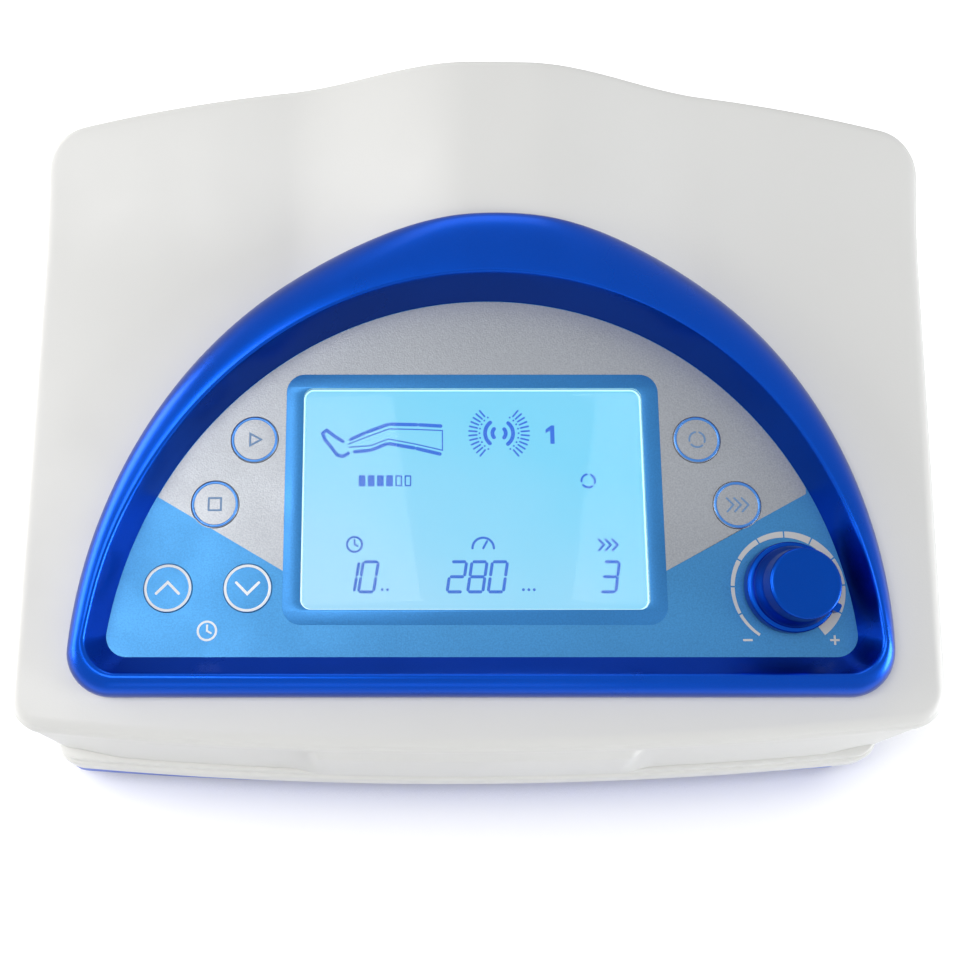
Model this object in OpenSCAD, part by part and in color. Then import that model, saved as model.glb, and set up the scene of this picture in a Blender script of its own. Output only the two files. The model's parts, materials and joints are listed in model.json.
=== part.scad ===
// Compression therapy pump: a table-top air pump for inflatable limb sleeves.
// Millimetres. +X is the right side seen from the front, +Y the back, +Z up.
// The origin is on the surface the pump stands on, under the middle of its box.
//
// Two frames are used. Case parts are drawn in the frame above. Everything on the
// sloping control panel is drawn flat and laid on it by on_panel(): there x runs
// to the right (u), y up the slope to the back (v) and z out of the panel (w).

/* [Case] */
// Width over the rim of the upper case at its front
case_w = 254.7; // [252:0.1:257]
// Slope of the control panel and of the top
tilt = 14; // [10:1:16]
// Height of the front edge of the top at its middle
front_h = 54; // [52:1:58]
// Distance from the origin forward to the front edge of the top
front_y = 98; // [96:1:100]
// Distance from the origin back to the rear edge of the top
rear_y = 91; // [89:1:92]
// Height of the ridge that runs along the top from the rear edge to the bezel
ridge_h = 8.2; // [6:0.2:10]
// How far the ridge lies to the right of the middle
ridge_x = 7; // [0:1:8]
// Wall thickness of the case mouldings
wall = 2.5; // [2:0.1:3]
// How far the recesses beside the front block are set back under the rim
waist_in = 2.2; // [1:0.2:3]

/* [Panel] */
// Half width of the visible half-moon panel
panel_a = 103.5; // [102:0.5:105]
// Top of the half-moon, up the slope from the panel origin
panel_top = 112.4; // [110:0.2:114]
// Straight bottom edge of the half-moon
panel_bottom = 10; // [9:1:12]
// Height of the bezel crest at the top of the half-moon
crest_top = 14; // [12:1:16]
// Width of the lit display
lcd_w = 96.7; // [90:0.1:97]
// Height of the lit display
lcd_h = 63.3; // [58:0.1:64]

/* [Controls] */
// Diameter of the round buttons
button_d = 13.4; // [12:0.1:13.6]
// Travel of a button
button_travel = 0.8; // [0.4:0.1:1]
// Diameter of the pressure knob's skirt
knob_d = 25; // [22:0.5:26]
// Height of the knob above the panel
knob_h = 14; // [12:0.5:16]
// Direction of the knob's pointer, anticlockwise from the right
knob_angle = -29; // [-56:1:236]

/* [Rear] */
// Bore of a hose outlet
outlet_bore_d = 8; // [6:0.5:9]
// Distance between hose outlets
outlet_pitch = 16; // [15:0.5:18]
// Tilt of the rocker switch when it rests on one side
rocker_tilt = 10; // [8:1:12]

/* [Hidden] */

$fn = 48;
fit = 0.3;          // gap between pieces that move past each other
run = 0.05;         // radial gap of a shaft in its bore

// ---- small functions ----------------------------------------------------
function mix(a, b, t) = a + (b - a) * t;
function smooth(lo, hi, x) = let (t = max(0, min(1, (x - lo) / (hi - lo)))) t * t * (3 - 2 * t);
function arc(c, r, a0, a1, n) = [for (i = [0:n - 1]) c + r * [cos(mix(a0, a1, i / n)), sin(mix(a0, a1, i / n))]];
function line(a, b, n) = [for (i = [0:n - 1]) mix(a, b, i / n)];
function both_halves(h) = concat(h, [for (i = [len(h) - 2:-1:1]) [-h[i].x, h[i].y]]);

// ---- frame of the sloping panel -----------------------------------------
panel_off = 14.8;   // from the front edge up the slope to the panel origin
lean = 0.0198;      // the case's middle moves right by this for each mm to the back
flare = 0.0165;     // and its half width grows by this
turn = 0.0045;      // the front edge falls back to the right by this for each mm
// Middle of the rim at the front, placed so that the overall box is centred
front_mid = -(lean + flare) * (front_y + 66) / 2;
panel_o = [front_mid + 0.7, -front_y + panel_off * cos(tilt), front_h + panel_off * sin(tilt)];
function to_case(p) = panel_o + [p.x, p.y * cos(tilt) - p.z * sin(tilt), p.y * sin(tilt) + p.z * cos(tilt)];
module on_panel() {
  translate(panel_o) rotate([tilt, 0, 0]) children();
}

// ---- outlines -----------------------------------------------------------
// Every outline has the same number of points, taken anticlockwise from the
// middle of the front, so that rings of different outlines can be joined.
// Where the stations stand along half of the front: close pairs at the block's edge
front_t = [0, 0.09, 0.18, 0.27, 0.367, 0.392, 0.49, 0.59, 0.69, 0.79, 0.87, 0.93];
n_front = len(front_t);
block_n = 4;        // last station of the flush block in the middle of the front
n_corner = 5;
n_side = 6;
n_rear_corner = 6;
n_rear = 17;
n_arch = n_side + n_rear_corner + n_rear;
n_ring = 2 * (n_front + n_corner + n_arch);

// Half of a case outline, set in by d: bowed front, straight sides, bowed rear. The front
// corner keeps a round of 1 where the inset is larger than its radius
function half_case(d, hw, yf, rf, yr, rr, cf, cr) =
  let (
    c = max(cf - d, 1),
    f = [hw - d - c, yf + rf - sqrt(pow(rf - d - c, 2) - pow(hw - d - c, 2))],
    r = [hw - cr, yr - rr + sqrt(pow(rr - cr, 2) - pow(hw - cr, 2))],
    af = atan2(f.y - yf - rf, f.x),
    ar = atan2(r.y - yr + rr, r.x))
  concat(
    [for (t = front_t) let (a = mix(-90, af, t)) [0, yf + rf] + (rf - d) * [cos(a), sin(a)]],
    arc(f, c, af, 0, n_corner),
    line([hw - d, f.y], [hw - d, r.y], n_side),
    arc(r, cr - d, 0, ar, n_rear_corner),
    arc([0, yr - rr], rr - d, ar, 90, n_rear),
    [[0, yr - d]]);
rear_bow_r = 500;
// A half outline mirrored, put beside the middle by off, and widened and moved to
// the right by more and more towards the back
function flared(half, hw, off, move, grow) = [for (p = both_halves(half))
  let (d = p.y + front_y)
  [front_mid + off + move * d + p.x * (1 + grow * d / hw), p.y + turn * p.x * (1 - d / 90)]];
rim_hw = case_w / 2;
lip_hw = rim_hw - 3.85;
base_hw = rim_hw - 5.85;
function rim_outline(d) = flared(
  half_case(d, rim_hw, -front_y, 1225, rear_y, rear_bow_r, 9.5, 14), rim_hw, 0, lean, flare);
function lip_outline(d) = flared(
  half_case(d, lip_hw, -front_y - 2.1, 1277, rear_y - 1.5, rear_bow_r, 9, 11), lip_hw, -1.3, 0.0273, 0.024);
function base_outline(d) = flared(
  half_case(d, base_hw, -front_y, 1500, rear_y - 1.5, rear_bow_r, 6, 11), base_hw, -3.3, 0.031, 0.03);

// Half-moon: straight bottom at v0, round corners r, half ellipse of axes a, b about vc
function corner_turn(t, a, b, vc, v0, r, n) = n == 0 ? t :
  corner_turn(asin((v0 + r + r * sin(atan2(sin(t) / b, cos(t) / a)) - vc) / b), a, b, vc, v0, r, n - 1);
function half_moon(a, b, vc, v0, r) =
  let (
    t0 = corner_turn(10, a, b, vc, v0, r, 6),
    turn = atan2(sin(t0) / b, cos(t0) / a),
    c = [a * cos(t0) - r * cos(turn), v0 + r])
  both_halves(concat(
    [for (t = front_t) [c.x * t, v0]],
    arc(c, r, -90, turn, n_corner),
    [for (i = [0:n_arch]) let (t = mix(t0, 90, i / n_arch)) [a * cos(t), vc + b * sin(t)]]));
// The arch of the half-moon leans to the right by k for each mm above v_from
function leaning(outline, k, v_from) = [for (q = outline) [q.x + k * max(0, q.y - v_from), q.y]];
panel_vc = 5;       // height of the panel ellipse's centre
function panel_outline(g) = leaning(
  half_moon(panel_a + g, panel_top - panel_vc + g, panel_vc, panel_bottom - g, max(1, 6 + g)), 0.03, -10);

// ---- shape of the top, as height over the panel plane ------------------------
rear_rise = 5;      // the top curves up this much towards the rear edge
function ridge(u) = ridge_h * (1 - smooth(9, 62, abs(u - ridge_x)));
function lift(u, v) = rear_rise * smooth(125, 182, v) + ridge(u) * smooth(60, 100, v);
// Panel coordinates of the top over a plan point of the case
function over(p) = let (
    u = p.x - panel_o.x,
    v0 = (p.y - panel_o.y) / cos(tilt),
    w = lift(u, v0 + tan(tilt) * lift(u, v0)))
  [u, v0 + w * tan(tilt)];
function on_top(q, w) = to_case([q.x, q.y, lift(q.x, q.y) + w]);
function drop(p, h) = let (s = on_top(over(p), 0)) [p.x, p.y, s.z - h];

bezel_edge = leaning(half_moon(112.1, 125.7, 10, -0.8, 12.5), 0.046, 10);
panel_edge = panel_outline(0);
function from_edge(i, d) = bezel_edge[i] + d * (panel_edge[i] - bezel_edge[i]) / norm(panel_edge[i] - bezel_edge[i]);
seat = 3;           // the bezel rests on this width of the case

// ---- solids from rings --------------------------------------------------
// A closed band: ring after ring, the last joined to the first
module ring_band(rings) {
  n = len(rings[0]);
  m = len(rings);
  polyhedron(
    points = [for (r = rings) for (p = r) p],
    faces = [for (j = [0:m - 1]) for (i = [0:n - 1])
      let (a = j * n + i, b = j * n + (i + 1) % n,
           c = ((j + 1) % m) * n + (i + 1) % n, d = ((j + 1) % m) * n + i)
      each [[a, c, b], [a, d, c]]]);
}
// A round tube along points, with flat ends square to its first and last run
module tube(path, r, n = 8) {
  m = len(path);
  rings = [for (j = [0:m - 1])
    let (
      t = path[min(j + 1, m - 1)] - path[max(j - 1, 0)],
      d = t / norm(t),
      side = cross(d, abs(d.z) > 0.9 ? [1, 0, 0] : [0, 0, 1]),
      a = side / norm(side),
      b = cross(d, a))
    [for (i = [0:n - 1]) path[j] + r * (cos(360 * i / n) * a + sin(360 * i / n) * b)]];
  polyhedron(
    points = [for (q = rings) for (p = q) p],
    faces = concat(
      [[for (i = [0:n - 1]) i]],
      [for (j = [0:m - 2]) for (i = [0:n - 1])
        let (a = j * n + i, b = j * n + (i + 1) % n)
        each [[a, a + n, b + n], [a, b + n, b]]],
      [[for (i = [n - 1:-1:0]) (m - 1) * n + i]]));
}
module slab(outline, z0, z1) {
  translate([0, 0, z0]) linear_extrude(z1 - z0) polygon(outline);
}
module rounded_rect(a, b, r) {
  translate([a.x + r, a.y]) square([b.x - a.x - 2 * r, b.y - a.y]);
  translate([a.x, a.y + r]) square([b.x - a.x, b.y - a.y - 2 * r]);
  for (x = [a.x + r, b.x - r], y = [a.y + r, b.y - r]) translate([x, y]) circle(r);
}
module rod(p, d, r, h) {      // cylinder from p along the unit axis named by d
  translate(p)
    if (d == "x") rotate([0, 90, 0]) cylinder(r = r, h = h);
    else if (d == "y") rotate([-90, 0, 0]) cylinder(r = r, h = h);
    else cylinder(r = r, h = h);
}
module box(a, b) {
  translate(a) cube(b - a);
}

// ---- case ---------------------------------------------------------------
foot_h = 3;
floor_top = foot_h + wall;
tray_top = 14;
waist_low = 23;     // top of the lower lip, foot of the upper case
rim_h = 4.8;        // depth of the rim band round the top
rim_r = 3.4;        // rounding of the top edge
cavity_in = 6;      // inner face of the walls, from the rim
ledge_in = cavity_in + 5;             // foot of the upper case, which rests on the lip
ledge_top = waist_low + wall;
screw_at = [[-116, -77], [111, -77], [-116, 56], [116, 56]];
screw_r = 1.5;
boss_r = 5.3;
bay = [[-81, 28], [81, 68]];          // connector bay in the rear wall, x and z
bay_back = 76;                        // outer face of the connector plate

module upper_case() {
  rim = rim_outline(0);
  step = rim_outline(1);
  // Insets under the rim: of the block that stands out in the middle of the front, of
  // the recess beside it at its near and far end, and of the rest of the wall
  function place(i) = min(i, n_ring - i);
  function waist(i, block, near, far, rest) = mix(rim[i], step[i],
    place(i) <= block_n ? block :
    place(i) < n_front ? mix(near, far, (place(i) - block_n - 1) / (n_front - block_n - 2)) : rest);
  inner = rim_outline(cavity_in);
  ledge = rim_outline(ledge_in);
  top_start = rim_outline(rim_r);
  under_start = rim_outline(cavity_in + 1.5);
  n_top = 8;
  plate = wall;
  color("whitesmoke") difference() {
    union() {
      ring_band(concat(
        [[for (p = ledge) [p.x, p.y, waist_low]]],
        [[for (i = [0:n_ring - 1]) let (p = waist(i, -1.2, 0.1, 0.1, 1.6)) [p.x, p.y, waist_low]]],
        [[for (i = [0:n_ring - 1]) drop(waist(i, -0.9, waist_in - 0.8, 0.4, 0.6), rim_h + 6)]],
        [[for (i = [0:n_ring - 1]) drop(waist(i, 0.3, waist_in, 0.5, 0.6), rim_h + 0.6)]],
        [[for (i = [0:n_ring - 1]) drop(mix(rim[i], step[i], 0.2), rim_h + 0.2)]],
        [[for (p = rim) drop(p, rim_h - 0.6)]],
        [for (a = [0, 30, 60, 75]) [for (p = rim_outline(rim_r * (1 - cos(a)))) drop(p, rim_r * (1 - sin(a)))]],
        [for (k = [0:n_top - 1]) [for (i = [0:n_ring - 1])
          on_top(mix(over(top_start[i]), bezel_edge[i], k / n_top), 0)]],
        [[for (q = bezel_edge) on_top(q, 0)]],
        [[for (i = [0:n_ring - 1]) on_top(from_edge(i, seat), 0)]],
        [[for (i = [0:n_ring - 1]) on_top(from_edge(i, seat), -plate)]],
        [for (k = [n_top - 1:-1:1]) [for (i = [0:n_ring - 1])
          on_top(mix(over(under_start[i]), bezel_edge[i], k / n_top), -plate)]],
        [[for (p = under_start) drop(p, plate + 0.1)]],
        [[for (p = inner) drop(p, plate + 1.5)]],
        [[for (p = inner) [p.x, p.y, ledge_top]]],
        [[for (p = ledge) [p.x, p.y, ledge_top]]]));
      for (p = screw_at) translate([p.x, p.y, waist_low]) cylinder(r = boss_r, h = 17);
    }
    for (p = screw_at) translate([p.x, p.y, waist_low - 1]) cylinder(r = screw_r, h = 16);
    box([bay[0].x, bay_back - 4, bay[0].y], [bay[1].x, rear_y + 1, bay[1].y]);
    for (side = [-1, 1], k = [0:7]) translate([side * (rim_hw - 1), vent_y + vent_pitch * k, vent_z])
      box([-8, -1.5, 0], [8, 1.5, vent_h]);
  }
}
// Slots in the side walls
vent_y = -6;
vent_pitch = 7;
vent_z = 34;
vent_h = 30;

module lower_case() {
  step_z = 20.5;
  lip_wall = 8;
  color("whitesmoke") difference() {
    union() {
      difference() {
        union() {
          slab(lip_outline(0), tray_top, step_z);
          slab(lip_outline(1), step_z, waist_low);
        }
        slab(lip_outline(lip_wall), tray_top - 1, waist_low + 1);
      }
      for (p = screw_at) translate([p.x, p.y, tray_top]) cylinder(r = boss_r - 0.3, h = waist_low - tray_top);
    }
    for (p = screw_at) translate([p.x, p.y, tray_top - 1]) cylinder(r = screw_r + 0.2, h = 12);
  }
}

module base_tray() {
  color("royalblue") difference() {
    union() {
      difference() {
        slab(base_outline(0), foot_h, tray_top);
        slab(base_outline(3), floor_top, tray_top + 1);
      }
      for (p = screw_at) translate([p.x, p.y, foot_h]) cylinder(r = boss_r - 0.3, h = tray_top - foot_h);
      for (p = board_posts) translate([p.x, p.y, floor_top - 0.5]) cylinder(r = 3.5, h = board_z - floor_top + 0.5);
      for (a = [0:120:240]) translate([dist.x + 16 * cos(a + 30), dist.y + 16 * sin(a + 30), floor_top - 0.5])
        cylinder(r = 3.5, h = motor_z - floor_top + 0.5);
    }
    for (p = screw_at) {
      translate([p.x, p.y, foot_h - 1]) cylinder(r = screw_r + 0.2, h = 20);
      translate([p.x, p.y, foot_h - 1]) cylinder(r = head_r + 0.4, h = 4);
    }
    for (k = [0:8]) box([-40 + 10 * k - 1.5, -8, foot_h - 1], [-40 + 10 * k + 1.5, 16, floor_top + 1]);
    for (p = foot_at) translate([p.x, p.y, foot_h - 1]) cylinder(r = 3, h = 6);
  }
}

foot_at = [[-95, -78], [95, -78], [-92, 60], [92, 60]];
module rubber_feet() {
  color("dimgray") for (p = foot_at) translate([p.x, p.y, 0]) {
    cylinder(r1 = 8, r2 = 9, h = foot_h);
    translate([0, 0, foot_h]) cylinder(r = 3, h = wall);
  }
}

head_r = 3.2;
module case_screws() {
  color("silver") for (p = screw_at) translate([p.x, p.y, foot_h + 0.8]) {
    cylinder(r = head_r, h = 2.2);
    cylinder(r = screw_r, h = 30);
  }
}

// ---- bezel and panel ----------------------------------------------------
panel_t = 2.5;
carrier_t = 2.5;
foot_gap = 0.05;
rib_out = 1.8;      // the bezel's rib starts this far outside the panel's edge
function crest(v) = 7 + 2 * smooth(0, 25, v) + (crest_top - 9) * smooth(45, 118, v);
function crest_in(v) = 5.6 - 1.8 * smooth(0, 25, v);
module bezel_ring() {
  edge_h = 0.8;
  run_w = [for (i = [0:n_ring - 1]) norm(bezel_edge[i] - panel_edge[i])];
  // Point of the cross-section at station i, t of the way from panel to outer edge
  function at(i, t, w) = to_case([
    mix(panel_edge[i].x, bezel_edge[i].x, t), mix(panel_edge[i].y, bezel_edge[i].y, t), w]);
  function top(i, a) =
    let (
      q = bezel_edge[i],
      tc = crest_in(panel_edge[i].y) / run_w[i],
      low = lift(q.x, q.y) + edge_h,
      high = crest(panel_edge[i].y))
    at(i, mix(tc, 1, sin(a)), mix(low, high, cos(a)));
  function inner(i, s) = at(i, s * crest_in(panel_edge[i].y) / run_w[i], s * crest(panel_edge[i].y));
  stations = [0:n_ring - 1];
  color("mediumblue") ring_band(concat(
    [[for (i = stations) at(i, 0, foot_gap)]],
    [[for (i = stations) at(i, rib_out / run_w[i], foot_gap)]],
    [[for (i = stations) at(i, rib_out / run_w[i], -panel_t)]],
    [[for (i = stations) at(i, 1 - (seat + fit) / run_w[i], -panel_t)]],
    [[for (i = stations) let (q = from_edge(i, seat + fit)) on_top(q, foot_gap)]],
    [[for (i = stations) on_top(bezel_edge[i], foot_gap)]],
    [for (a = [90:-15:0]) [for (i = stations) top(i, a)]],
    [[for (i = stations) inner(i, 0.9)]]));
}

lcd_mid = [-0.95, 54.55];
lcd_a = lcd_mid - [lcd_w, lcd_h] / 2;
lcd_b = lcd_mid + [lcd_w, lcd_h] / 2;
frame_a = lcd_a - [4.9, 4.2];
frame_b = lcd_b + [4.7, 4];
button_at = [[-63, 70.9], [-73.6, 52.3], [-85.8, 28.8], [-63.8, 28.8], [62.5, 70.9], [72.8, 52.1]];
knob_at = [85.5, 28.8];
bushing_r = 3.5;

module control_panel() {
  color("lightsteelblue") on_panel() difference() {
    slab(panel_outline(1.5), -panel_t, 0);
    translate([0, 0, -panel_t - 1]) linear_extrude(panel_t + 2) rounded_rect(frame_a, frame_b, 5.2);
    for (p = button_at) translate([p.x, p.y, -panel_t - 1]) cylinder(d = button_d + 2 * fit, h = panel_t + 2);
    translate([knob_at.x, knob_at.y, -panel_t - 1]) cylinder(r = bushing_r, h = panel_t + 2);
  }
}

carrier_low = -panel_t - carrier_t;
flange_r = button_d / 2 + 1.3;
module panel_carrier() {
  color("gray") on_panel() difference() {
    slab([for (i = [0:n_ring - 1]) from_edge(i, 1)], carrier_low, -panel_t);
    translate([0, 0, carrier_low - 1]) linear_extrude(carrier_t + 2)
      rounded_rect(lcd_a - [2.2, 2.2], lcd_b + [2.2, 2.2], 1);
    for (p = button_at) translate([p.x, p.y, carrier_low - 1]) cylinder(r = flange_r + 0.6, h = carrier_t + 2);
    translate([knob_at.x, knob_at.y, carrier_low - 1]) cylinder(r = bushing_r, h = carrier_t + 2);
    for (p = panel_screw_at) translate([p.x, p.y, carrier_low - 1]) cylinder(r = 1.3, h = carrier_t + 2);
  }
}

// Screws stand in the middle of the rib under the bezel
panel_screw_at = [for (i = [6, 21, 34, n_ring - 6, n_ring - 21, n_ring - 34])
  let (width = norm(bezel_edge[i] - panel_edge[i]))
  mix(panel_edge[i], bezel_edge[i], (rib_out + width - seat - fit) / 2 / width)];
module panel_screws() {
  color("silver") on_panel() for (p = panel_screw_at) translate([p.x, p.y, carrier_low - 1.6]) {
    cylinder(r = 2.4, h = 1.6);
    cylinder(r = 1.3, h = 1.6 + carrier_t + 2);
  }
}

module lcd_frame() {
  color("steelblue") on_panel() translate([0, 0, -panel_t]) linear_extrude(panel_t) difference() {
    rounded_rect(frame_a, frame_b, 5.2);
    rounded_rect(lcd_a, lcd_b, 2.9);
  }
}
module lcd_window() {
  color("lightcyan", 0.4) on_panel() translate([0, 0, -1.2]) linear_extrude(1.1) rounded_rect(lcd_a, lcd_b, 2.9);
}
glass_low = -panel_t - 1.1;
module lcd_glass() {
  color("cyan") on_panel() box(
    [lcd_a.x - 1.8, lcd_a.y - 1.8, glass_low], [lcd_b.x + 1.8, lcd_b.y + 1.8, -panel_t]);
}
light_low = glass_low - 4.4;
module lcd_backlight() {
  color("white") on_panel() {
    box([lcd_a.x - 1.2, lcd_a.y - 1.2, light_low + 1.6], [lcd_b.x + 1.2, lcd_b.y + 1.2, glass_low]);
    box([lcd_a.x - 2, lcd_a.y - 2, light_low], [lcd_b.x + 2, lcd_b.y + 2, light_low + 1.6]);
  }
}

// ---- control board and buttons ------------------------------------------
pcb_t = 1.6;
pcb_top = -12;
switch_top = pcb_top + 3.2;
stem_low = switch_top + button_travel + 0.1;
module control_board() {
  color("darkgreen") on_panel() {
    slab(panel_outline(-7), pcb_top - pcb_t, pcb_top);
    for (x = [-44, 42], y = [30, 80]) translate([x, y, pcb_top]) cylinder(r = 2.5, h = light_low - pcb_top);
    box([-14, 26, pcb_top], [14, 40, pcb_top + 2.4]);
  }
}
module tact_switches() {
  color("black") on_panel() for (p = button_at) translate([p.x, p.y, pcb_top]) difference() {
    box([-3.1, -3.1, 0], [3.1, 3.1, switch_top - pcb_top]);
    translate([0, 0, 0.3]) cylinder(r = 1.7 + run, h = 4);
  }
}
module buzzer() {
  color("black") on_panel() translate([62, 44, pcb_top]) {
    difference() {
      cylinder(r = 6, h = 5.5);
      translate([0, 0, 4]) cylinder(r = 1, h = 4);
    }
  }
}

module button(k, tint) {
  dome = 0.3;
  proud = 0.6;
  color(tint) on_panel() translate([button_at[k].x, button_at[k].y, 0]) {
    translate([0, 0, proud - dome]) cylinder(r1 = button_d / 2, r2 = button_d / 2 - 0.35, h = dome);
    translate([0, 0, -panel_t - fit]) cylinder(d = button_d, h = panel_t + fit + proud - dome);
    translate([0, 0, -panel_t - fit - 1.1]) cylinder(r = flange_r, h = 1.1);
    translate([0, 0, stem_low]) cylinder(r = 2.5, h = -stem_low - panel_t - fit - 1);
  }
}
module plunger(k) {
  color("dimgray") on_panel() translate([button_at[k].x, button_at[k].y, stem_low - 2.6]) cylinder(r = 1.7, h = 2.6);
}
module start_button() { button(0, "silver"); }
module stop_button() { button(1, "silver"); }
module up_button() { button(2, "cornflowerblue"); }
module down_button() { button(3, "cornflowerblue"); }
module mode_button() { button(4, "silver"); }
module speed_button() { button(5, "silver"); }
module start_plunger() { plunger(0); }
module stop_plunger() { plunger(1); }
module up_plunger() { plunger(2); }
module down_plunger() { plunger(3); }
module mode_plunger() { plunger(4); }
module speed_plunger() { plunger(5); }

// ---- pressure knob ------------------------------------------------------
shaft_r = 3;
knob_low = 0.6;
pot_top = carrier_low - 0.2;
module on_knob() {
  on_panel() translate([knob_at.x, knob_at.y, 0]) children();
}
module pressure_knob() {
  r = knob_d / 2;
  step_a = 4.2;
  step_b = 7.6;
  color("blue") on_knob() difference() {
    union() {
      translate([0, 0, knob_low]) cylinder(r1 = r, r2 = r - 0.3, h = step_a - knob_low - 0.6);
      translate([0, 0, step_a - 0.6]) cylinder(r1 = r - 0.3, r2 = r - 1.2, h = 0.6);
      translate([0, 0, step_a]) cylinder(r1 = r - 1.5, r2 = r - 1.8, h = step_b - step_a - 0.6);
      translate([0, 0, step_b - 0.6]) cylinder(r1 = r - 1.8, r2 = r - 2.6, h = 0.6);
      translate([0, 0, step_b]) cylinder(r1 = r - 2.9, r2 = r - 3.1, h = knob_h - step_b - 0.7);
      translate([0, 0, knob_h - 0.7]) cylinder(r1 = r - 3.1, r2 = r - 3.8, h = 0.7);
      rotate([0, 0, knob_angle]) box([r - 4, -1.3, step_a - 0.6], [r + 0.5, 1.3, step_b - 0.8]);
    }
    translate([0, 0, -1]) cylinder(r = 8, h = 4.2);
    translate([0, 0, -1]) cylinder(r = shaft_r, h = knob_h - 2);
  }
}
module knob_shaft() {
  color("silver") on_knob() translate([0, 0, pot_top - 3.5]) cylinder(r = shaft_r, h = knob_h - 3 - pot_top + 3.5);
}
module potentiometer() {
  color("darkslategray") on_knob() difference() {
    union() {
      translate([0, 0, pcb_top]) cylinder(r = 8.4, h = pot_top - pcb_top);
      translate([0, 0, pot_top - 1]) cylinder(r = bushing_r + 0.9, h = 1);
      translate([0, 0, pot_top - 0.5]) cylinder(r = bushing_r, h = 2 - pot_top + 0.5);
    }
    translate([0, 0, pot_top - 3.8]) cylinder(r = shaft_r + run, h = 20);
  }
}
module potentiometer_nut() {
  color("silver") on_knob() difference() {
    cylinder(r = 6, h = 1.6, $fn = 6);
    translate([0, 0, -1]) cylinder(r = bushing_r, h = 4);
  }
}

// ---- connector bay at the rear ------------------------------------------
plate_t = 2.5;
rear_z = (bay[0].y + bay[1].y) / 2;
inlet_x = -52;
switch_x = -8;
outlet_x = [for (k = [0:3]) 24 + outlet_pitch * k];
inlet_half = [13.7, 9.8];
inlet_screw = 20;   // the inlet's screws stand this far from its middle
switch_half = [6.6, 10.6];
outlet_r = outlet_bore_d / 2 + 2;
module rear_panel() {
  rim = 4;
  color("dimgray") difference() {
    intersection() {
      box([bay[0].x - rim, bay_back - plate_t, ledge_top + 0.1], [bay[1].x + rim, rear_y, bay[1].y + rim]);
      slab(rim_outline(cavity_in + 0.2), 0, 120);
    }
    box([bay[0].x + 0.5, bay_back, bay[0].y + 0.5], [bay[1].x - 0.5, rear_y + 1, bay[1].y - 0.5]);
    box([inlet_x - inlet_half.x, 60, rear_z - inlet_half.y], [inlet_x + inlet_half.x, 90, rear_z + inlet_half.y]);
    box([switch_x - switch_half.x, 60, rear_z - switch_half.y], [switch_x + switch_half.x, 90, rear_z + switch_half.y]);
    for (x = outlet_x) rod([x, 60, rear_z], "y", outlet_r, 30);
    for (s = [-1, 1]) rod([inlet_x + inlet_screw * s, 60, rear_z], "y", screw_r, 30);
  }
}
module rear_panel_screws() {
  color("silver") for (s = [-1, 1]) {
    rod([inlet_x + inlet_screw * s, bay_back - 6, rear_z], "y", screw_r, 9);
    rod([inlet_x + inlet_screw * s, bay_back + 3, rear_z], "y", 2.6, 1.6);
  }
}
module power_inlet() {
  depth = 14;
  color("black") difference() {
    union() {
      rotate([90, 0, 0]) translate([0, 0, -bay_back - 3]) linear_extrude(3)
        rounded_rect([inlet_x - 25, rear_z - 11.5], [inlet_x + 25, rear_z + 11.5], 3);
      box([inlet_x - inlet_half.x, bay_back - depth - 2, rear_z - inlet_half.y],
        [inlet_x + inlet_half.x, bay_back + 1, rear_z + inlet_half.y]);
    }
    box([inlet_x - 12.2, bay_back - depth, rear_z - 8.2], [inlet_x + 12.2, bay_back + 4, rear_z + 8.2]);
    for (s = [-1, 1]) rod([inlet_x + inlet_screw * s, 60, rear_z], "y", screw_r, 30);
    pin_blades();
  }
}
module pin_blades() {
  for (p = [[-7, 1], [0, 4], [7, 1]])
    box([inlet_x + p.x - 1, pin_low, rear_z + p.y - 2], [inlet_x + p.x + 1, bay_back - 4, rear_z + p.y + 2]);
}
module inlet_pins() {
  color("silver") pin_blades();
}
pin_low = bay_back - 20;
pivot_y = bay_back - 0.5;
module switch_frame() {
  color("black") difference() {
    union() {
      box([switch_x - 8.2, bay_back, rear_z - 12.4], [switch_x + 8.2, bay_back + 2, rear_z + 12.4]);
      box([switch_x - switch_half.x, bay_back - 15, rear_z - switch_half.y],
        [switch_x + switch_half.x, bay_back + 1, rear_z + switch_half.y]);
    }
    box([switch_x - 5.4, bay_back - 6, rear_z - 9.4], [switch_x + 5.4, bay_back + 3, rear_z + 9.4]);
    rod([switch_x - 6.5, pivot_y, rear_z], "x", 1.2 + run, 13);
  }
}
module switch_rocker() {
  half = 8.3;
  color("firebrick") translate([switch_x, pivot_y, rear_z]) rotate([rocker_tilt, 0, 0]) {
    translate([-5.1, 0, 0]) rotate([90, 0, 90]) linear_extrude(10.2)
      polygon([[-2.6, -3.5], [0.4, -half], [4.2, -half], [3, 0], [4.2, half], [0.4, half], [-2.6, 3.5]]);
    rod([-6.1, 0, 0], "x", 1.2, 12.2);
  }
}
socket_out = front_y + 2.1;   // tip of the outlets, as far back as the lip is forward
socket_in = 66;
module hose_sockets() {
  color("gainsboro") for (x = outlet_x) difference() {
    union() {
      rod([x, socket_in, rear_z], "y", 3.2, 8);
      rod([x, bay_back - plate_t - 1.5, rear_z], "y", outlet_r + 1.4, 1.5);
      rod([x, bay_back - plate_t - 1, rear_z], "y", outlet_r, socket_out - bay_back + plate_t + 1);
      rod([x, bay_back, rear_z], "y", outlet_r + 1.2, 2);
      rod([x, socket_out - 4, rear_z], "y", outlet_r + 0.6, 2);
    }
    rod([x, socket_in - 1, rear_z], "y", 1.6, 20);
    rod([x, socket_out - 20, rear_z], "y", outlet_bore_d / 2, 21);
  }
}

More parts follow.
